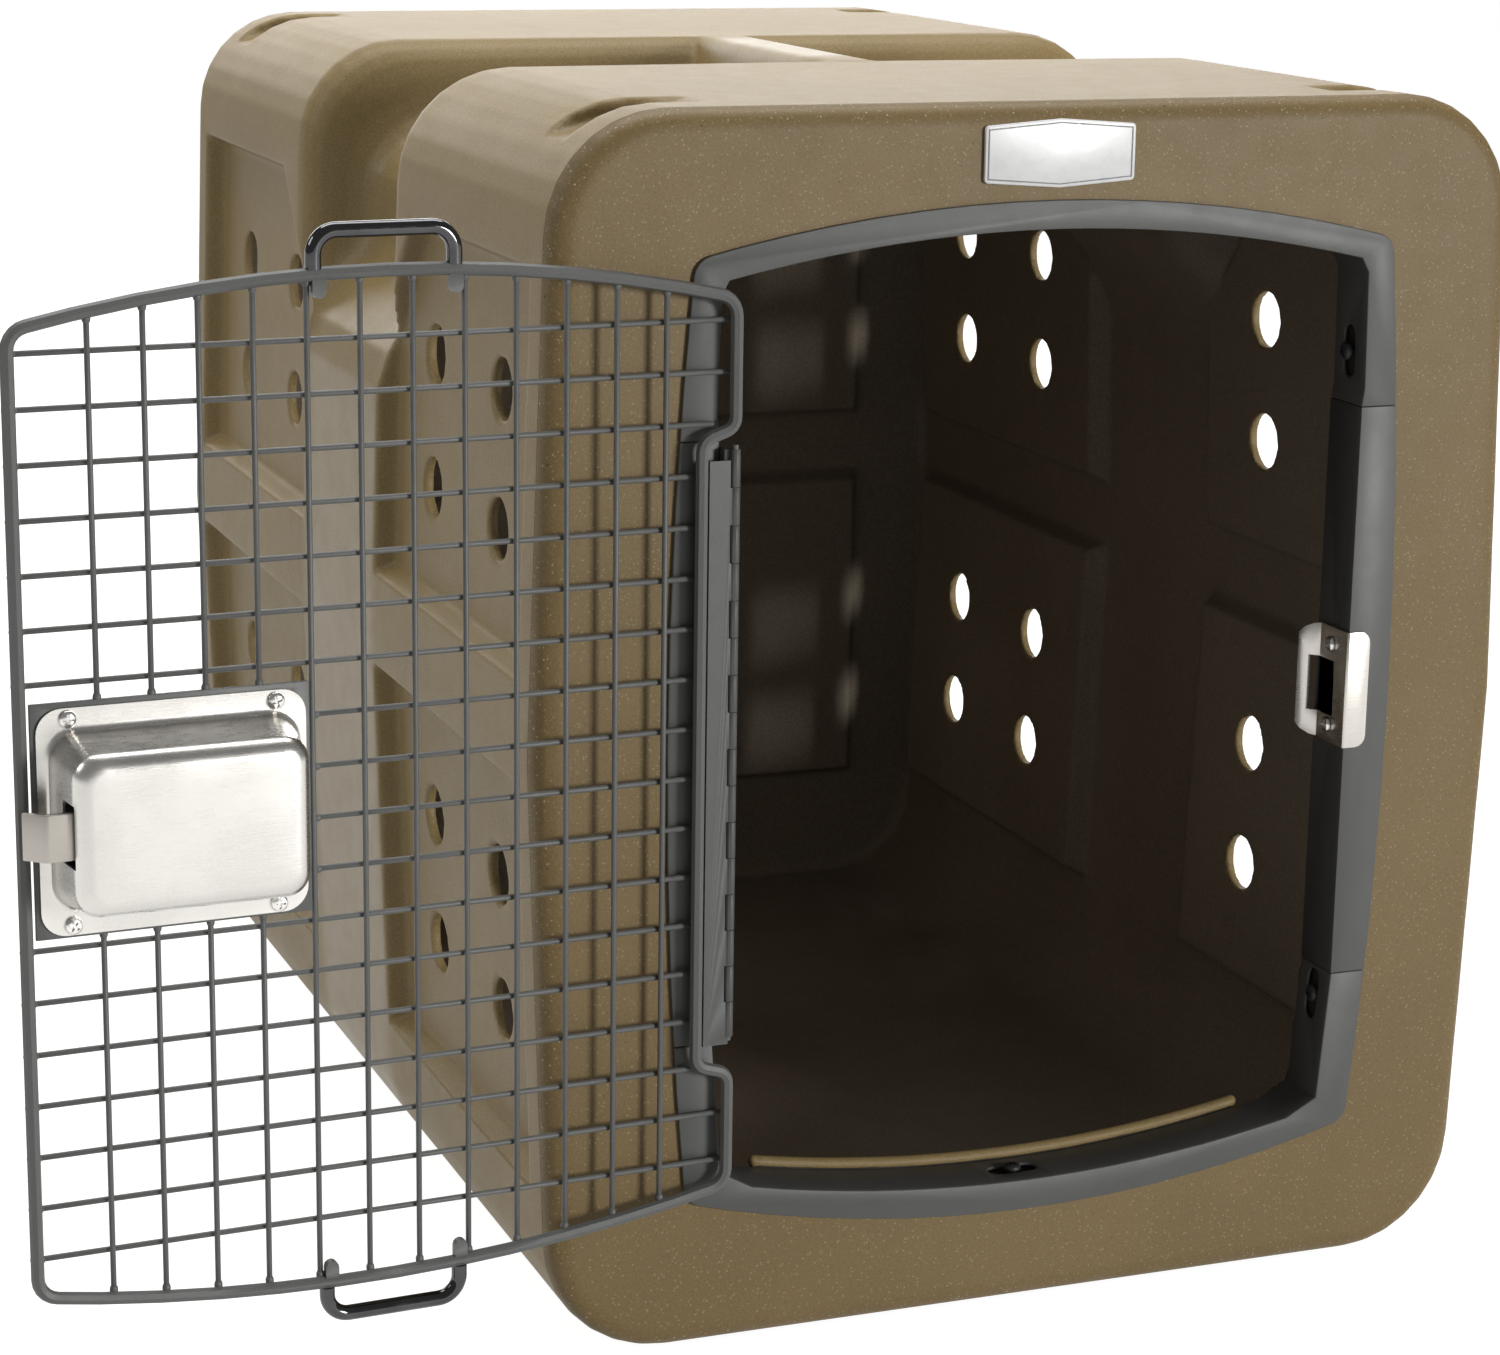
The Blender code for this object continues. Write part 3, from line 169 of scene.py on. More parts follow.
# ---- moulded plastic ----
# the face's colours, darker than the sides', are partly the textured face's own colour and partly painted
# shade
SIDE_SHADES = ((0.218, 0.154, 0.062), (0.236, 0.167, 0.069))
FACE_COLOUR_AND_PAINTED_SHADE = ((0.160, 0.108, 0.041), (0.176, 0.119, 0.046))
LINE_SHADE = (0.09, 0.062, 0.030)
FLECKS = (  # cells to a metre, spot's share of a cell, share of cells with a spot, colour
    (420.0, 0.22, 0.90, (0.26, 0.205, 0.11)),
    (330.0, 0.17, 0.90, (0.36, 0.30, 0.18)),
    (270.0, 0.13, 0.50, (0.50, 0.44, 0.30)),
    (170.0, 0.16, 0.14, (0.065, 0.042, 0.015)),
)
SIDE_FLECK = 0.25  # how strong the flecks are behind the mould line

# ---- studio ----
FLOOR_HALF = 30.0
FLOOR_DROP = 0.0005
FLOOR_GLOW = 0.92
WORLD_STRENGTH = 0.24
LIGHTS = (  # name, place, target, size, watts
    ("overhead", (0.1, 0.5, 2.6), (0, 0, 0.3), (2.4, 1.2), 54.0),
    ("rear_strip", (0.6, 3.6, 1.5), (0, 0, 0.5), (4.0, 1.2), 70.0),
    ("key", (2.4, -4.4, 0.95), (-0.1, -0.38, 0.35), (1.0, 1.0), 165.0),
    ("left_fill", (-2.7, 0.1, 1.9), (-0.2, 0, 0.4), (1.2, 1.0), 20.0),
)


# ------------------------------------------------------------------ materials


class Nodes:
    """A material's node tree, built with short calls."""

    def __init__(self, name):
        self.material = bpy.data.materials.new(name)
        self.material.use_nodes = True
        self.tree = self.material.node_tree
        self.shader = self.tree.nodes["Principled BSDF"]
        self.place = self.add("ShaderNodeTexCoord").outputs["Object"]

    def add(self, kind, **settings):
        node = self.tree.nodes.new(kind)
        for key, value in settings.items():
            setattr(node, key, value)
        return node

    def feed(self, socket, value):
        if isinstance(value, bpy.types.NodeSocket):
            self.tree.links.new(value, socket)
        elif isinstance(value, (tuple, list)) and len(value) == 3 and socket.type == "RGBA":
            socket.default_value = (*value, 1.0)
        else:
            socket.default_value = value

    def maths(self, operation, a, b=0.0):
        node = self.add("ShaderNodeMath", operation=operation)
        self.feed(node.inputs[0], a)
        self.feed(node.inputs[1], b)
        return node.outputs[0]

    def ramp(self, value, low, high, to_low=0.0, to_high=1.0):
        node = self.add("ShaderNodeMapRange", interpolation_type="SMOOTHSTEP")
        self.feed(node.inputs["Value"], value)
        node.inputs["From Min"].default_value = low
        node.inputs["From Max"].default_value = high
        node.inputs["To Min"].default_value = to_low
        node.inputs["To Max"].default_value = to_high
        return node.outputs["Result"]

    def mix(self, share, a, b, blend="MIX"):
        node = self.add("ShaderNodeMix", data_type="RGBA", blend_type=blend)
        self.feed(node.inputs["Factor"], share)
        self.feed(node.inputs["A"], a)
        self.feed(node.inputs["B"], b)
        return node.outputs["Result"]

    def noise(self, scale, detail=3.0, stretch=None, rough=0.5):
        node = self.add("ShaderNodeTexNoise")
        place = self.place
        if stretch:
            mapping = self.add("ShaderNodeMapping")
            mapping.inputs["Scale"].default_value = stretch
            self.feed(mapping.inputs["Vector"], place)
            place = mapping.outputs["Vector"]
        self.feed(node.inputs["Vector"], place)
        node.inputs["Scale"].default_value = scale
        node.inputs["Detail"].default_value = detail
        node.inputs["Roughness"].default_value = rough
        return node.outputs["Fac"]

    def cells(self, scale):
        """(distance to the nearest cell's point, and two random values of that cell)"""
        node = self.add("ShaderNodeTexVoronoi")
        self.feed(node.inputs["Vector"], self.place)
        node.inputs["Scale"].default_value = scale
        split = self.add("ShaderNodeSeparateColor")
        self.feed(split.inputs[0], node.outputs["Color"])
        return node.outputs["Distance"], split.outputs[0], split.outputs[1]

    def axis(self, name):
        split = self.add("ShaderNodeSeparateXYZ")
        self.feed(split.inputs[0], self.place)
        return split.outputs[name]

    def bump(self, height, distance, strength=1.0, below=None):
        node = self.add("ShaderNodeBump")
        node.inputs["Strength"].default_value = strength
        node.inputs["Distance"].default_value = distance
        self.feed(node.inputs["Height"], height)
        if below is not None:
            self.feed(node.inputs["Normal"], below)
        return node.outputs["Normal"]

    def finish(self, colour, rough, metal=0.0, normal=None, **constants):
        self.feed(self.shader.inputs["Base Color"], colour)
        self.feed(self.shader.inputs["Roughness"], rough)
        self.shader.inputs["Metallic"].default_value = metal
        if normal is not None:
            self.feed(self.shader.inputs["Normal"], normal)
        for key, value in constants.items():
            self.shader.inputs[key.replace("_", " ")].default_value = value
        return self.material


def plastic_material():
    """Rotomoulded plastic: granite flecks and a dull face in front of the mould line, plainer behind it; the
    face's darker colour is partly its own and partly painted shade.
    """
    n = Nodes("moulded_plastic")
    y = n.axis("Y")
    in_front = n.ramp(y, MOULD_LINE_Y - 0.0004, MOULD_LINE_Y + 0.0004, 1.0, 0.0)
    cloud = n.ramp(n.noise(9.0, 4.0), 0.35, 0.65)
    side = n.mix(cloud, *SIDE_SHADES)
    # partly painted shade: the face is coloured darker than the sides
    face = n.mix(cloud, *FACE_COLOUR_AND_PAINTED_SHADE)
    colour = n.mix(in_front, side, face)
    grain = n.ramp(n.noise(900.0, 2.0), 0.30, 0.70, 0.87, 1.13)
    colour = n.mix(1.0, colour, grain, "MULTIPLY")
    strength = n.ramp(in_front, 0.0, 1.0, SIDE_FLECK, 1.0)
    for scale, radius, chance, shade in FLECKS:
        distance, lot, size = n.cells(scale)
        reach = n.maths("MULTIPLY", n.ramp(size, 0.0, 1.0, 0.35, 1.0), radius)
        spot = n.maths("LESS_THAN", distance, reach)
        chosen = n.maths("LESS_THAN", lot, chance)
        share = n.maths("MULTIPLY", n.maths("MULTIPLY", spot, chosen), strength)
        colour = n.mix(share, colour, shade)
    line = n.ramp(n.maths("ABSOLUTE", n.maths("SUBTRACT", y, MOULD_LINE_Y)), 0.0002, 0.0007, 1.0, 0.0)
    colour = n.mix(n.maths("MULTIPLY", line, 0.55), colour, LINE_SHADE)
    rough = n.ramp(n.noise(60.0, 3.0), 0.3, 0.7, 0.53, 0.57)
    from_channel = n.maths("ABSOLUTE", n.maths("SUBTRACT", y, CHANNEL_Y))
    gloss = n.ramp(from_channel, CHANNEL_HALF * 0.8, CHANNEL_HALF * 1.2, 0.12, 0.0)
    rough = n.maths("SUBTRACT", rough, gloss)
    normal = n.bump(n.noise(420.0, 3.0, rough=0.6), 0.00020, 0.55)
    normal = n.bump(line, 0.0005, 0.6, normal)
    return n.finish(colour, rough, normal=normal, Specular_IOR_Level=0.34)


def liner_material():
    """The cabin's inside face, of the same plastic but greyer and with no flecks."""
    n = Nodes("cabin_inside")
    cloud = n.ramp(n.noise(7.0, 4.0), 0.3, 0.7)
    colour = n.mix(cloud, (0.270, 0.222, 0.165), (0.300, 0.248, 0.186))
    colour = n.mix(1.0, colour, n.ramp(n.noise(700.0, 2.0), 0.3, 0.7, 0.85, 1.15), "MULTIPLY")
    rough = n.ramp(n.noise(40.0, 3.0), 0.3, 0.7, 0.62, 0.75)
    normal = n.bump(n.noise(380.0, 3.0), 0.0002, 0.5)
    return n.finish(colour, rough, normal=normal, Specular_IOR_Level=0.25)


def neck_painted_shade_material():
    """Painted shade: the plastic sleeve behind the frame's flange, coloured near-black for the shade it lies
    in, seen only through the flange's slots.
    """
    n = Nodes("neck_shadow")
    colour = n.mix(n.ramp(n.noise(40.0, 3.0), 0.3, 0.7), (0.016, 0.013, 0.010), (0.024, 0.019, 0.014))
    rough = n.ramp(n.noise(90.0, 2.0), 0.3, 0.7, 0.60, 0.70)
    return n.finish(colour, rough, normal=n.bump(n.noise(400.0, 2.0), 0.0001, 0.4), Specular_IOR_Level=0.2)


def coat_material(name, shade, painted_inside_shade=None):
    """Grey powder coat, with the fine orange peel of its texture and a little dust; a given inside shade
    paints the faces behind the front darker, as painted shade.
    """
    n = Nodes(name)
    mottle = n.ramp(n.noise(38.0, 4.0), 0.3, 0.7, 0.97, 1.03)
    colour = n.mix(1.0, shade, mottle, "MULTIPLY")
    fine = n.ramp(n.noise(1500.0, 2.0), 0.3, 0.7, 0.93, 1.07)
    colour = n.mix(1.0, colour, fine, "MULTIPLY")
    # painted shade: faces behind the front, inside the doorway, are coloured darker
    if painted_inside_shade is not None:
        inside = n.ramp(n.axis("Y"), FRONT - 0.0012, FRONT + 0.0020)
        colour = n.mix(inside, colour, painted_inside_shade)
    rough = n.ramp(n.noise(90.0, 3.0), 0.3, 0.7, 0.46, 0.50)
    normal = n.bump(n.noise(850.0, 2.0), 0.00012, 0.45)
    return n.finish(colour, rough, normal=normal, Specular_IOR_Level=0.45)


def steel_material(name, shade, rough_low, rough_high, stretch, brushed=1.0):
    """Brushed stainless steel: fine lines across the stretch, cloudy handling marks over them."""
    n = Nodes(name)
    lines = n.noise(90.0, 4.0, stretch=stretch, rough=0.7)
    cloud = n.noise(26.0, 4.0)
    tint = n.ramp(cloud, 0.3, 0.7, 0.96, 1.02)
    colour = n.mix(1.0, shade, tint, "MULTIPLY")
    brushing = n.ramp(lines, 0.25, 0.75, rough_low, rough_high)
    rough = n.maths("ADD", brushing, n.ramp(cloud, 0.3, 0.7, -0.02, 0.03))
    normal = n.bump(lines, 0.00004, 0.20 * brushed)
    return n.finish(colour, rough, metal=1.0, normal=normal)


def chrome_material():
    """Black chrome, almost a mirror."""
    n = Nodes("black_chrome")
    colour = n.mix(n.ramp(n.noise(60.0, 3.0), 0.3, 0.7), (0.070, 0.070, 0.072), (0.095, 0.095, 0.098))
    rough = n.ramp(n.noise(150.0, 3.0), 0.3, 0.7, 0.07, 0.13)
    return n.finish(colour, rough, metal=1.0, normal=n.bump(n.noise(300.0, 2.0), 0.00006, 0.15))


def enamel_material(name, shade):
    """Glossy enamel with a slightly uneven shade."""
    n = Nodes(name)
    colour = n.mix(1.0, shade, n.ramp(n.noise(30.0, 3.0), 0.3, 0.7, 0.96, 1.03), "MULTIPLY")
    rough = n.ramp(n.noise(120.0, 3.0), 0.3, 0.7, 0.24, 0.34)
    return n.finish(colour, rough, normal=n.bump(n.noise(500.0, 2.0), 0.00005, 0.3))


def floor_material():
    """A floor that glows just enough to show as plain white."""
    n = Nodes("studio_floor")
    colour = n.mix(n.ramp(n.noise(3.0, 3.0), 0.3, 0.7), (0.30, 0.30, 0.30), (0.32, 0.32, 0.32))
    return n.finish(colour, 0.8, Emission_Color=(1.0, 1.0, 1.0, 1.0), Emission_Strength=FLOOR_GLOW)


PLASTIC = plastic_material()
LINER = liner_material()
# near-black painted shade for the neck behind the frame's flange
NECK_PAINTED_SHADE = neck_painted_shade_material()
# the frame's second, darker colour is painted shade on its inside faces
FRAME_COAT = coat_material("frame_coat", (0.074, 0.075, 0.070), (0.060, 0.057, 0.054))
DOOR_COAT = coat_material("door_coat", (0.108, 0.110, 0.105))
STEEL = steel_material("brushed_steel", (0.62, 0.60, 0.565), 0.24, 0.34, (1.0, 1.0, 30.0))
BOLT_STEEL = steel_material("bolt_steel", (0.40, 0.372, 0.335), 0.30, 0.42, (1.0, 1.0, 26.0))
STRIKER_STEEL = steel_material("striker_steel", (0.56, 0.53, 0.49), 0.26, 0.36, (1.0, 1.0, 24.0))
FIXINGS = steel_material("screw_steel", (0.74, 0.72, 0.69), 0.20, 0.30, (8.0, 8.0, 8.0), 0.4)
# painted shade: the screws in the flange's slots are coloured near-black for the shade in the slots
SLOT_SCREW_PAINTED_SHADE = coat_material("slot_screw_painted_shade", (0.020, 0.020, 0.021))
CHROME = chrome_material()
BADGE_WHITE = enamel_material("badge_enamel", (0.70, 0.70, 0.69))
BADGE_LINE = enamel_material("badge_line", (0.030, 0.030, 0.030))
FLOOR = floor_material()


# ------------------------------------------------------------------ shapes


def object_of(mesh, name):
    obj = bpy.data.objects.new(name, mesh)
    bpy.context.scene.collection.objects.link(obj)
    return obj


def object_from(bm, name):
    bmesh.ops.recalc_face_normals(bm, faces=bm.faces)
    mesh = bpy.data.meshes.new(name)
    bm.to_mesh(mesh)
    bm.free()
    return object_of(mesh, name)


def bake(obj):
    """Replaces the object's mesh with the one its modifiers make."""
    bpy.context.view_layer.update()
    graph = bpy.context.evaluated_depsgraph_get()
    mesh = bpy.data.meshes.new_from_object(obj.evaluated_get(graph))
    obj.modifiers.clear()
    obj.data = mesh
    return obj


def smooth(obj, angle=35.0):
    for polygon in obj.data.polygons:
        polygon.use_smooth = True
    obj.data.set_sharp_from_angle(angle=math.radians(angle))
    return obj


def paint(obj, *materials):
    obj.data.materials.clear()
    for material in materials:
        obj.data.materials.append(material)
    return obj


def put(obj, body, stands_for=()):
    """Fixes a finished piece to its body and hides the CAD parts it stands for."""
    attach(obj, body)
    if stands_for:
        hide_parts(*stands_for)
    return obj


def cut(obj, cutter, solver="EXACT"):
    modifier = obj.modifiers.new("cut", "BOOLEAN")
    modifier.operation = "DIFFERENCE"
    modifier.solver = solver
    modifier.object = cutter
    bake(obj)
    bpy.data.objects.remove(cutter, do_unlink=True)
    return obj


def node_copy(node, name):
    """A welded copy of a CAD node, with flat faces made whole again, to be worked on as a visible piece."""
    source = nodes[node].data
    mesh = bpy.data.meshes.new(name)
    bm = bmesh.new()
    bm.from_mesh(source)
    bmesh.ops.remove_doubles(bm, verts=bm.verts, dist=WELD)
    bmesh.ops.dissolve_limit(bm, angle_limit=math.radians(FLAT_ANGLE), verts=bm.verts, edges=bm.edges)
    bm.to_mesh(mesh)
    bm.free()
    return object_of(mesh, name)


def eased(node, name, width, segments=2):
    """A CAD node with its edges rounded over."""
    obj = node_copy(node, name)
    modifier = obj.modifiers.new("edges", "BEVEL")
    modifier.width = width
    modifier.segments = segments
    modifier.limit_method = "ANGLE"
    modifier.angle_limit = math.radians(EDGE_ANGLE)
    modifier.use_clamp_overlap = True
    bake(obj)
    return smooth(obj, 40.0)


def door_box(node):
    """A door node's (u, h, z) box: u from the pin to the free side, h from the outside to the inside."""
    points = [DOOR_INVERSE @ v.co for v in nodes[node].data.vertices]
    low = Vector([min(p[i] for p in points) for i in range(3)])
    high = Vector([max(p[i] for p in points) for i in range(3)])
    return low, high


def turned(name, profile, steps=32):
    """A closed body turned about Z from (radius, height) points that start and end on the axis."""
    bm = bmesh.new()
    verts = [bm.verts.new((r, 0.0, z)) for r, z in profile]
    edges = [bm.edges.new(pair) for pair in zip(verts, verts[1:])]
    bmesh.ops.spin(
        bm,
        geom=verts + edges,
        axis=(0, 0, 1),
        cent=(0, 0, 0),
        dvec=(0, 0, 0),
        angle=2 * math.pi,
        steps=steps,
        use_merge=True,
    )
    bmesh.ops.remove_doubles(bm, verts=bm.verts, dist=1e-6)
    return object_from(bm, name)


def box(name, x, y, z):
    spans = (x, y, z)
    bm = bmesh.new()
    bmesh.ops.create_cube(bm, size=1.0)
    bmesh.ops.scale(bm, vec=[high - low for low, high in spans], verts=bm.verts)
    bmesh.ops.translate(bm, vec=[(low + high) / 2 for low, high in spans], verts=bm.verts)
    return object_from(bm, name)


def pan_screw(name, radius, place, direction, spin, material):
    """A pan head with a cross recess and a stub of its shank."""
    high = radius * HEAD_HIGH
    shank = radius * SHANK_THICK
    profile = [(0.0, high)]
    for k in range(1, 9):
        angle = math.pi / 2 * k / 8
        profile.append((radius * math.sin(angle) ** 0.8, high * (0.30 + 0.70 * math.cos(angle))))
    profile += [(radius, 0.0), (shank, 0.0), (shank, -SHANK_LONG), (0.0, -SHANK_LONG)]
    head = turned(name, profile)
    long, thin = radius * RECESS_LONG, radius * RECESS_THIN
    for half_x, half_y in ((long, thin), (thin, long)):
        slot = box("slot", (-half_x, half_x), (-half_y, half_y), (high * 0.45, high * 2))
        slot.data.transform(Matrix.Rotation(math.radians(spin), 4, "Z"))
        cut(head, slot)
    smooth(head, 30.0)
    turn = Vector((0, 0, 1)).rotation_difference(Vector(direction)).to_matrix().to_4x4()
    head.data.transform(Matrix.Translation(place) @ turn)
    return paint(head, material)


def rounded_ring(u, z, corner, steps=8):
    """Points round a rounded rectangle, always the same number and in the same order."""
    ring = []
    corner = max(corner, LEAST_CORNER)
    middles = (
        (u[1] - corner, z[1] - corner, 0),
        (u[0] + corner, z[1] - corner, 90),
        (u[0] + corner, z[0] + corner, 180),
        (u[1] - corner, z[0] + corner, 270),
    )
    for centre_u, centre_z, start in middles:
        for k in range(steps + 1):
            angle = math.radians(start + 90 * k / steps)
            ring.append((centre_u + corner * math.cos(angle), centre_z + corner * math.sin(angle)))
    return ring


def skin_of(rings, name, cap_first=False):
    """A surface through closed rings of points, closed over the last one."""
    bm = bmesh.new()
    rows = [[bm.verts.new(p) for p in ring] for ring in rings]
    for before, after in zip(rows, rows[1:]):
        count = len(before)
        for k in range(count):
            bm.faces.new((before[k], before[(k + 1) % count], after[(k + 1) % count], after[k]))
    if cap_first:
        bm.faces.new(rows[0])
    bm.faces.new(rows[-1])
    return object_from(bm, name)


# ------------------------------------------------------------------ shell


def near_vent(point):
    """True on the wall of a vent hole."""
    y = point.y - FRONT
    return any(
        math.hypot(y - vent_y, point.z - vent_z) < VENT_RADIUS + VENT_RIM
        for vent_y in VENT_Y
        for vent_z in VENT_Z
    )


def in_doorway(point):
    """True on the neck that lines the door opening, and on everything in front of it."""
    in_front = point.y < LIP_END_Y
    in_neck = point.y < NECK_END_Y and abs(point.x) < NECK_OUT_X
    return (in_front or in_neck) and point.z < DOORWAY_TOP_Z


def behind_flange(point):
    """True on the part of the neck that the frame's flange hides."""
    return NECK_START_Y < point.y < NECK_END_Y and abs(point.x) < NECK_IN_X and point.z < NECK_TOP_Z


def mark_inside(mesh):
    """Gives the cabin the second material, spreading from the middle of its floor, and the neck the third, a
    near-black painted shade.
    """
    bm = bmesh.new()
    bm.from_mesh(mesh)
    bm.faces.ensure_lookup_table()
    start = min(bm.faces, key=lambda f: (f.calc_center_median() - CABIN_FLOOR).length)
    seen = {start.index}
    line = [start]
    while line:
        face = line.pop()
        face.material_index = 1
        for edge in face.edges:
            for other in edge.link_faces:
                if other.index in seen:
                    continue
                seen.add(other.index)
                centre = other.calc_center_median()
                if not (near_vent(centre) or in_doorway(centre)):
                    line.append(other)
    # the neck behind the flange gets the near-black painted shade
    for face in bm.faces:
        if behind_flange(face.calc_center_median()):
            face.material_index = 2
    bm.to_mesh(mesh)
    bm.free()


def make_shell():
    """The moulded shell with every edge softened as the mould leaves it, and crisp drilled vents."""
    shell = node_copy("shell", "shell_moulding")
    remesh = shell.modifiers.new("remesh", "REMESH")
    remesh.mode = "VOXEL"
    remesh.voxel_size = SHELL_VOXEL
    soften = shell.modifiers.new("soften", "SMOOTH")
    soften.factor = 0.5
    soften.iterations = SHELL_SOFTEN
    thin = shell.modifiers.new("thin", "DECIMATE")
    thin.ratio = SHELL_KEEP
    bake(shell)
    bm = bmesh.new()
    turn = Matrix.Rotation(math.pi / 2, 4, "Y")
    for y in VENT_Y:
        for z in VENT_Z:
            bmesh.ops.create_cone(
                bm,
                cap_ends=True,
                segments=VENT_SIDES,
                radius1=VENT_RADIUS,
                radius2=VENT_RADIUS,
                depth=2 * (HALF_WIDTH + DRILL_PAST),
                matrix=Matrix.Translation((0, FRONT + y, z)) @ turn,
            )
    cut(shell, object_from(bm, "drill"), "MANIFOLD")
    paint(shell, PLASTIC, LINER, NECK_PAINTED_SHADE)
    mark_inside(shell.data)
    smooth(shell, 50.0)
    put(shell, "carrier", ["shell"])


# ------------------------------------------------------------------ door frame


def repaint(node, material):
    """Gives a CAD node that is shown as it stands its visible material."""
    nodes[node].data.materials.clear()
    nodes[node].data.materials.append(material)


def make_frame():
    """The four lengths of the angle frame, the fixed hinge leaf, the pin and the screws in the slots."""
    lengths = (
        ("frame_head", FRAME_EDGE),
        ("frame_hinge_jamb", FRAME_EDGE),
        ("frame_latch_jamb", LATCH_JAMB_EDGE),
        ("frame_sill", FRAME_EDGE),
    )
    for node, edge in lengths:
        piece = eased(node, node + "_coated", edge)
        put(paint(piece, FRAME_COAT), "carrier", [node])
    leaf = eased("hinge_leaf_fixed", "hinge_leaf_fixed_coated", LEAF_EDGE, 1)
    put(paint(leaf, FRAME_COAT), "carrier", ["hinge_leaf_fixed"])
    repaint("hinge_pin", DOOR_COAT)
    # the slot screws take the near-black painted shade
    for side, name in ((-1, "hinge_side"), (1, "latch_side")):
        for level, z in zip(("low", "high"), SLOT_Z):
            spot = (side * (JAMB_X - SLOT_SCREW_PROUD), SLOT_Y, z)
            label = f"frame_screw_{name}_{level}"
            screw = pan_screw(label, SLOT_SCREW_R, spot, (-side, 0, 0), 20, SLOT_SCREW_PAINTED_SHADE)
            put(screw, "carrier")
    spot = (0, SLOT_Y, SILL_SCREW_Z)
    screw = pan_screw("frame_screw_sill", SLOT_SCREW_R, spot, (0, 0, 1), 35, SLOT_SCREW_PAINTED_SHADE)
    put(screw, "carrier")


def make_threshold():
    """The moulded bead behind the sill: a round bar with domed ends, bent to the sill's curve."""
    rings = []
    steps = THRESHOLD_STEPS
    for k in range(-THRESHOLD_DOME, steps + THRESHOLD_DOME + 1):
        share = min(max(k, 0), steps) / steps
        x = THRESHOLD_HALF * (2 * share - 1)
        past = max(0, -k, k - steps) / THRESHOLD_DOME
        size = math.sqrt(max(1 - past * past, 0.02))
        x += math.copysign(past * THRESHOLD_RADIUS, x)
        z = SILL_LOW_Z + SILL_RISE * (x / SILL_HALF) ** 2 + THRESHOLD_UP
        ring = []
        for j in range(THRESHOLD_SIDES):
            angle = 2 * math.pi * j / THRESHOLD_SIDES
            across = THRESHOLD_RADIUS * size * math.cos(angle)
            ring.append((x, THRESHOLD_Y + across, z + THRESHOLD_RADIUS * size * math.sin(angle)))
        rings.append(ring)
    bead = smooth(skin_of(rings, "threshold_bead", cap_first=True), 60.0)
    put(paint(bead, PLASTIC), "carrier")


def make_striker():
    """The striker on the latch jamb and its two screws."""
    plate = eased("striker_plate", "striker_plate_pressed", PRESSED_EDGE)
    put(paint(plate, STRIKER_STEEL), "carrier", ["striker_plate"])
    for level, spin in (("low", 12), ("high", 40)):
        node = "striker_screw_" + level
        low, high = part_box(node)
        spot = (JAMB_X - STRIKER_FACE, (low.y + high.y) / 2, (low.z + high.z) / 2)
        screw = pan_screw(node + "_head", SMALL_SCREW_R, spot, (-1, 0, 0), spin, FIXINGS)
        put(screw, "carrier", [node])


def make_badge():
    """The blank plate over the doorway, with a thin raised line round it."""
    low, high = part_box("badge_plate")
    plate = eased("badge_plate", "badge_plate_enamelled", PRESSED_EDGE, 3)
    put(paint(plate, BADGE_WHITE), "carrier", ["badge_plate"])
    middle = (low + high) / 2
    half = (high.x - low.x) / 2
    tall = (high.z - low.z) / 2

    def outline(inset):
        a, b = half - inset, tall - BADGE_PEAK - inset
        return [(-a, -b), (0, -b - BADGE_PEAK), (a, -b), (a, b), (0, b + BADGE_PEAK), (-a, b)]

    outer, inner = BORDER_INSET
    foot, top = BORDER_PROUD
    bm = bmesh.new()
    loops = []
    for inset, proud in ((outer, foot), (outer, top), (inner, top), (inner, foot)):
        y = low.y - proud
        loops.append([bm.verts.new((middle.x + x, y, middle.z + z)) for x, z in outline(inset)])
    for before, after in zip(loops, loops[1:] + loops[:1]):
        for k in range(6):
            bm.faces.new((before[k], before[(k + 1) % 6], after[(k + 1) % 6], after[k]))
    put(paint(object_from(bm, "badge_border"), BADGE_LINE), "carrier")


# ------------------------------------------------------------------ door


def fine_rod(name, low, high, radius, axis):
    """A straight wire with rounded-over ends, from its box in the door's plane."""
    middle = (low + high) / 2
    length = high[axis] - low[axis]
    ease = radius * WIRE_EASE
    small = radius - ease
    rings = []
    for along, size in ((0, small), (ease, radius), (length - ease, radius), (length, small)):
        ring = []
        for k in range(WIRE_SIDES):
            angle = 2 * math.pi * k / WIRE_SIDES
            point = [0.0, 0.0, 0.0]
            point[axis] = low[axis] + along
            point[(axis + 1) % 3] = middle[(axis + 1) % 3] + size * math.cos(angle)
            point[(axis + 2) % 3] = middle[(axis + 2) % 3] + size * math.sin(angle)
            ring.append(tuple(point))
        rings.append(ring)
    return smooth(skin_of(rings, name, cap_first=True), 50.0)


def hang(obj, body, stands_for=()):
    """Moves a piece laid out in the door's plane to where the open door stands, and fixes it there."""
    obj.data.transform(DOOR)
    return put(obj, body, stands_for)


def make_wires():
    """The drawn wires of the mesh."""
    for node in sorted(n for n in nodes if n.startswith("mesh_")):
        low, high = door_box(node)
        axis = 2 if "upright" in node else 0
        wire = fine_rod(node + "_drawn", low, high, (high.y - low.y) / 2, axis)
        hang(paint(wire, DOOR_COAT), "door", [node])


def weld_bead(bm, place, sizes, axis):
    """A small mound of weld."""
    long, wide, high = sizes
    made = bmesh.ops.create_uvsphere(bm, u_segments=12, v_segments=8, radius=1.0)
    size = [wide, high, wide]
    size[axis] = long
    bmesh.ops.scale(bm, vec=size, verts=made["verts"])
    bmesh.ops.translate(bm, vec=place, verts=made["verts"])


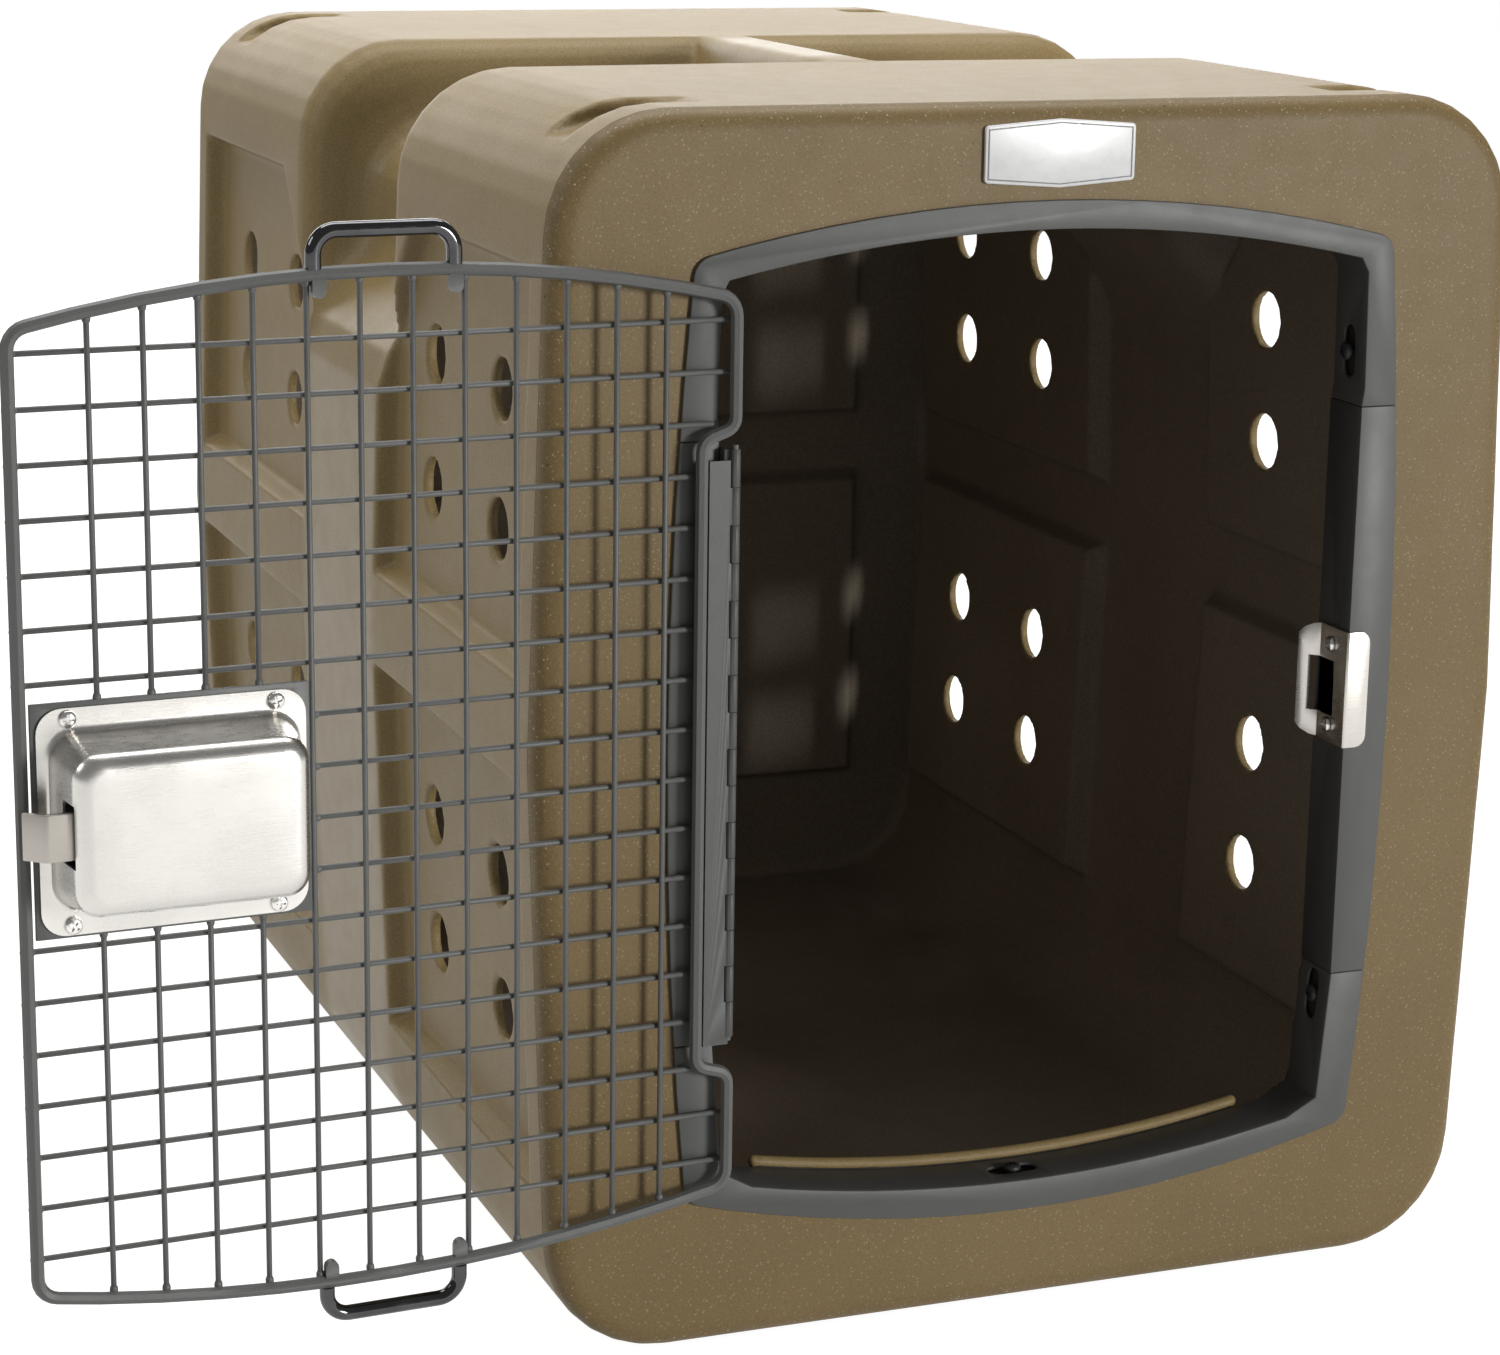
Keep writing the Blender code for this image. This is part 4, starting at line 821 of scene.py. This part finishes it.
def make_welds():
    """Beads where the uprights meet the rails and where each cross wire rests on the rim."""
    bm = bmesh.new()
    for node in sorted(n for n in nodes if n.startswith("mesh_")):
        low, high = door_box(node)
        middle = (low + high) / 2
        if "upright" in node:
            for end in (low.z, high.z):
                weld_bead(bm, (middle.x, middle.y, end), RAIL_WELD, 2)
        else:
            place = (high.x - CROSS_WELD_BACK, middle.y + CROSS_WELD_UP, middle.z)
            weld_bead(bm, place, CROSS_WELD, 0)
    beads = smooth(object_from(bm, "door_welds"), 60.0)
    hang(paint(beads, DOOR_COAT), "door")


def make_rim():
    """The door's bent rim and its hinge leaf."""
    rim = node_copy("door_rim", "door_rim_bent")
    smooth(rim, 42.0)
    put(paint(rim, DOOR_COAT), "door", ["door_rim"])
    leaf = eased("hinge_leaf_door", "hinge_leaf_door_coated", LEAF_EDGE, 1)
    put(paint(leaf, FRAME_COAT), "door", ["hinge_leaf_door"])


def bent_rod(name, corners, bend, radius):
    """A round rod along a polyline in the door's plane, with the inner corners bent to a radius."""
    path = [Vector(corners[0])]
    for before, corner, after in zip(corners, corners[1:], corners[2:]):
        corner = Vector(corner)
        back = (Vector(before) - corner).normalized()
        ahead = (Vector(after) - corner).normalized()
        half = back.angle(ahead) / 2
        centre = corner + (back + ahead).normalized() * (bend / math.sin(half))
        start = (corner + back * (bend / math.tan(half)) - centre).normalized()
        end = (corner + ahead * (bend / math.tan(half)) - centre).normalized()
        for k in range(HANDLE_STEPS + 1):
            path.append(centre + start.slerp(end, k / HANDLE_STEPS) * bend)
    path.append(Vector(corners[-1]))
    rings = []
    for k, point in enumerate(path):
        ahead = (path[min(k + 1, len(path) - 1)] - path[max(k - 1, 0)]).normalized()
        across = ahead.cross(Vector((0, 1, 0))).normalized()
        ring = []
        for j in range(HANDLE_SIDES):
            angle = 2 * math.pi * j / HANDLE_SIDES
            up = Vector((0, radius * math.sin(angle), 0))
            ring.append(point + across * (radius * math.cos(angle)) + up)
        rings.append(ring)
    return smooth(skin_of(rings, name, cap_first=True), 50.0)


def make_handles():
    """The two black chrome grips, welded end on to the door's top and bottom rails."""
    for node, way in (("lift_handle_top", 1), ("lift_handle_low", -1)):
        points = [DOOR_INVERSE @ v.co for v in nodes[node].data.vertices]
        low, high = door_box(node)
        radius = (high.y - low.y) / 2
        middle = (low.y + high.y) / 2
        bar = high.z - radius if way > 0 else low.z + radius
        legs = (low.x + radius, high.x - radius)
        feet = []
        for leg in legs:
            near = [p.z * way for p in points if abs(p.x - leg) < radius * 1.05]
            feet.append(min(near) * way - way * HANDLE_SINK)
        corners = [
            (legs[0], middle, feet[0]),
            (legs[0], middle, bar),
            (legs[1], middle, bar),
            (legs[1], middle, feet[1]),
        ]
        grip = bent_rod(node + "_chromed", corners, HANDLE_BEND, radius)
        hang(paint(grip, CHROME), "door", [node])


def cover_profile():
    """(inset from the dome's foot, height, corner radius) rings from the flange's rim to the dome's top."""
    flange = DOME_U[0] - door_box("latch_cover")[0].x
    rows = [(-flange, FLANGE_H, COVER_CORNER), (-DOME_FILLET, FLANGE_H, DOME_CORNER + DOME_FILLET)]
    for k in range(1, 5):
        angle = math.pi / 2 * k / 4
        along = DOME_FILLET * (1 - math.sin(angle))
        up = DOME_FILLET * (1 - math.cos(angle))
        rows.append((-along, FLANGE_H + up, DOME_CORNER + along))
    wall_top = DOME_HIGH - DOME_EDGE
    rows.append((DOME_DRAFT, wall_top, DOME_CORNER))
    for k in range(1, 8):
        angle = math.pi / 2 * k / 7
        inset = DOME_DRAFT + DOME_EDGE * (1 - math.cos(angle))
        corner = max(DOME_TOP_CORNER, DOME_CORNER - inset * 0.5)
        rows.append((inset, wall_top + DOME_EDGE * math.sin(angle), corner))
    return rows


def make_cover():
    """The pressed stainless box over the latch, from one sheet, with a slot for the bolt."""
    low, high = door_box("latch_cover")
    flange_u = DOME_U[0] - low.x
    sides = (flange_u, high.x - DOME_U[1], DOME_Z[0] - low.z, high.z - DOME_Z[1])
    rings = []
    for inset, h, corner in cover_profile():
        if inset <= -flange_u + 1e-6:
            u, z = (low.x, high.x), (low.z, high.z)
        else:
            reach = [max(inset, -side + DOME_CLEAR) for side in sides]
            u = (DOME_U[0] + reach[0], DOME_U[1] - reach[1])
            z = (DOME_Z[0] + reach[2], DOME_Z[1] - reach[3])
        rings.append([(a, h, b) for a, b in rounded_ring(u, z, corner)])
    last = rings[-1]
    centre = Vector((sum(DOME_U) / 2, DOME_HIGH, sum(DOME_Z) / 2))
    for share in TOP_RINGS:
        rings.append([centre + (Vector((u, DOME_HIGH, z)) - centre) * share for u, _, z in last])
    cover = skin_of(rings, "latch_cover_pressed")
    top = max(cover.data.polygons, key=lambda p: p.center.y)
    if top.normal.y < 0:
        cover.data.flip_normals()
    sheet = cover.modifiers.new("sheet", "SOLIDIFY")
    sheet.thickness = SHEET
    sheet.offset = -1.0
    bake(cover)
    slot_u = (DOME_U[1] - BOLT_SLOT_REACH[0], DOME_U[1] + BOLT_SLOT_REACH[1])
    cut(cover, box("slot", slot_u, BOLT_SLOT_H, BOLT_SLOT_Z))
    smooth(cover, 38.0)
    hang(paint(cover, STEEL), "door", ["latch_cover"])
    for node in sorted(n for n in nodes if n.startswith("cover_screw_")):
        low, high = door_box(node)
        spot = ((low.x + high.x) / 2, COVER_SCREW_H, (low.z + high.z) / 2)
        spin = 15 + 37 * (len(node) % 3)
        screw = pan_screw(node + "_head", SMALL_SCREW_R, spot, (0, 1, 0), spin, FIXINGS)
        hang(screw, "door", [node])


def make_latch():
    """The latch's backplate, dish, paddle, bolt and pin."""
    backplate = eased("latch_backplate", "latch_backplate_coated", PRESSED_EDGE)
    put(paint(backplate, DOOR_COAT), "door", ["latch_backplate"])
    dish = eased("latch_dish", "latch_dish_pressed", LATCH_EDGE)
    put(paint(dish, STEEL), "door", ["latch_dish"])
    paddle = eased("latch_paddle", "latch_paddle_pressed", LATCH_EDGE)
    put(paint(paddle, STEEL), "paddle", ["latch_paddle"])
    bolt = eased("latch_bolt", "latch_bolt_ground", LATCH_EDGE, 3)
    put(paint(bolt, BOLT_STEEL), "bolt", ["latch_bolt"])
    repaint("paddle_pin", FIXINGS)


# ------------------------------------------------------------------ studio


def area_light(name, place, target, size, power):
    data = bpy.data.lights.new(name, "AREA")
    data.shape = "RECTANGLE"
    data.size, data.size_y = size
    data.energy = power
    obj = bpy.data.objects.new(name, data)
    bpy.context.scene.collection.objects.link(obj)
    obj.location = place
    obj.rotation_euler = (Vector(target) - Vector(place)).to_track_quat("-Z", "Y").to_euler()


def make_studio():
    """The camera, the white floor, the plain world and the soft lights."""
    scene = bpy.context.scene
    data = bpy.data.cameras.new("camera")
    data.sensor_width = CAMERA_SENSOR
    data.sensor_fit = "HORIZONTAL"
    data.lens = CAMERA_LENS
    camera = bpy.data.objects.new("camera", data)
    scene.collection.objects.link(camera)
    turn = Matrix.Rotation(math.radians(CAMERA_HEADING), 4, "Z")
    turn = turn @ Matrix.Rotation(math.radians(CAMERA_PITCH), 4, "X")
    turn = turn @ Matrix.Rotation(math.radians(CAMERA_ROLL), 4, "Z")
    camera.matrix_world = Matrix.Translation(CAMERA_PLACE) @ turn
    scene.camera = camera

    bm = bmesh.new()
    bmesh.ops.create_grid(bm, x_segments=2, y_segments=2, size=FLOOR_HALF)
    floor = object_from(bm, "floor")
    floor.location.z = -FLOOR_DROP
    floor.visible_diffuse = False
    paint(floor, FLOOR)

    world = bpy.data.worlds.new("studio")
    world.use_nodes = True
    background = world.node_tree.nodes["Background"]
    background.inputs["Color"].default_value = (1.0, 1.0, 1.0, 1.0)
    background.inputs["Strength"].default_value = WORLD_STRENGTH
    scene.world = world
    scene.view_settings.view_transform = "Standard"

    for light in LIGHTS:
        area_light(*light)


make_studio()
make_shell()
make_frame()
make_threshold()
make_striker()
make_badge()
make_rim()
make_wires()
make_welds()
make_handles()
make_cover()
make_latch()
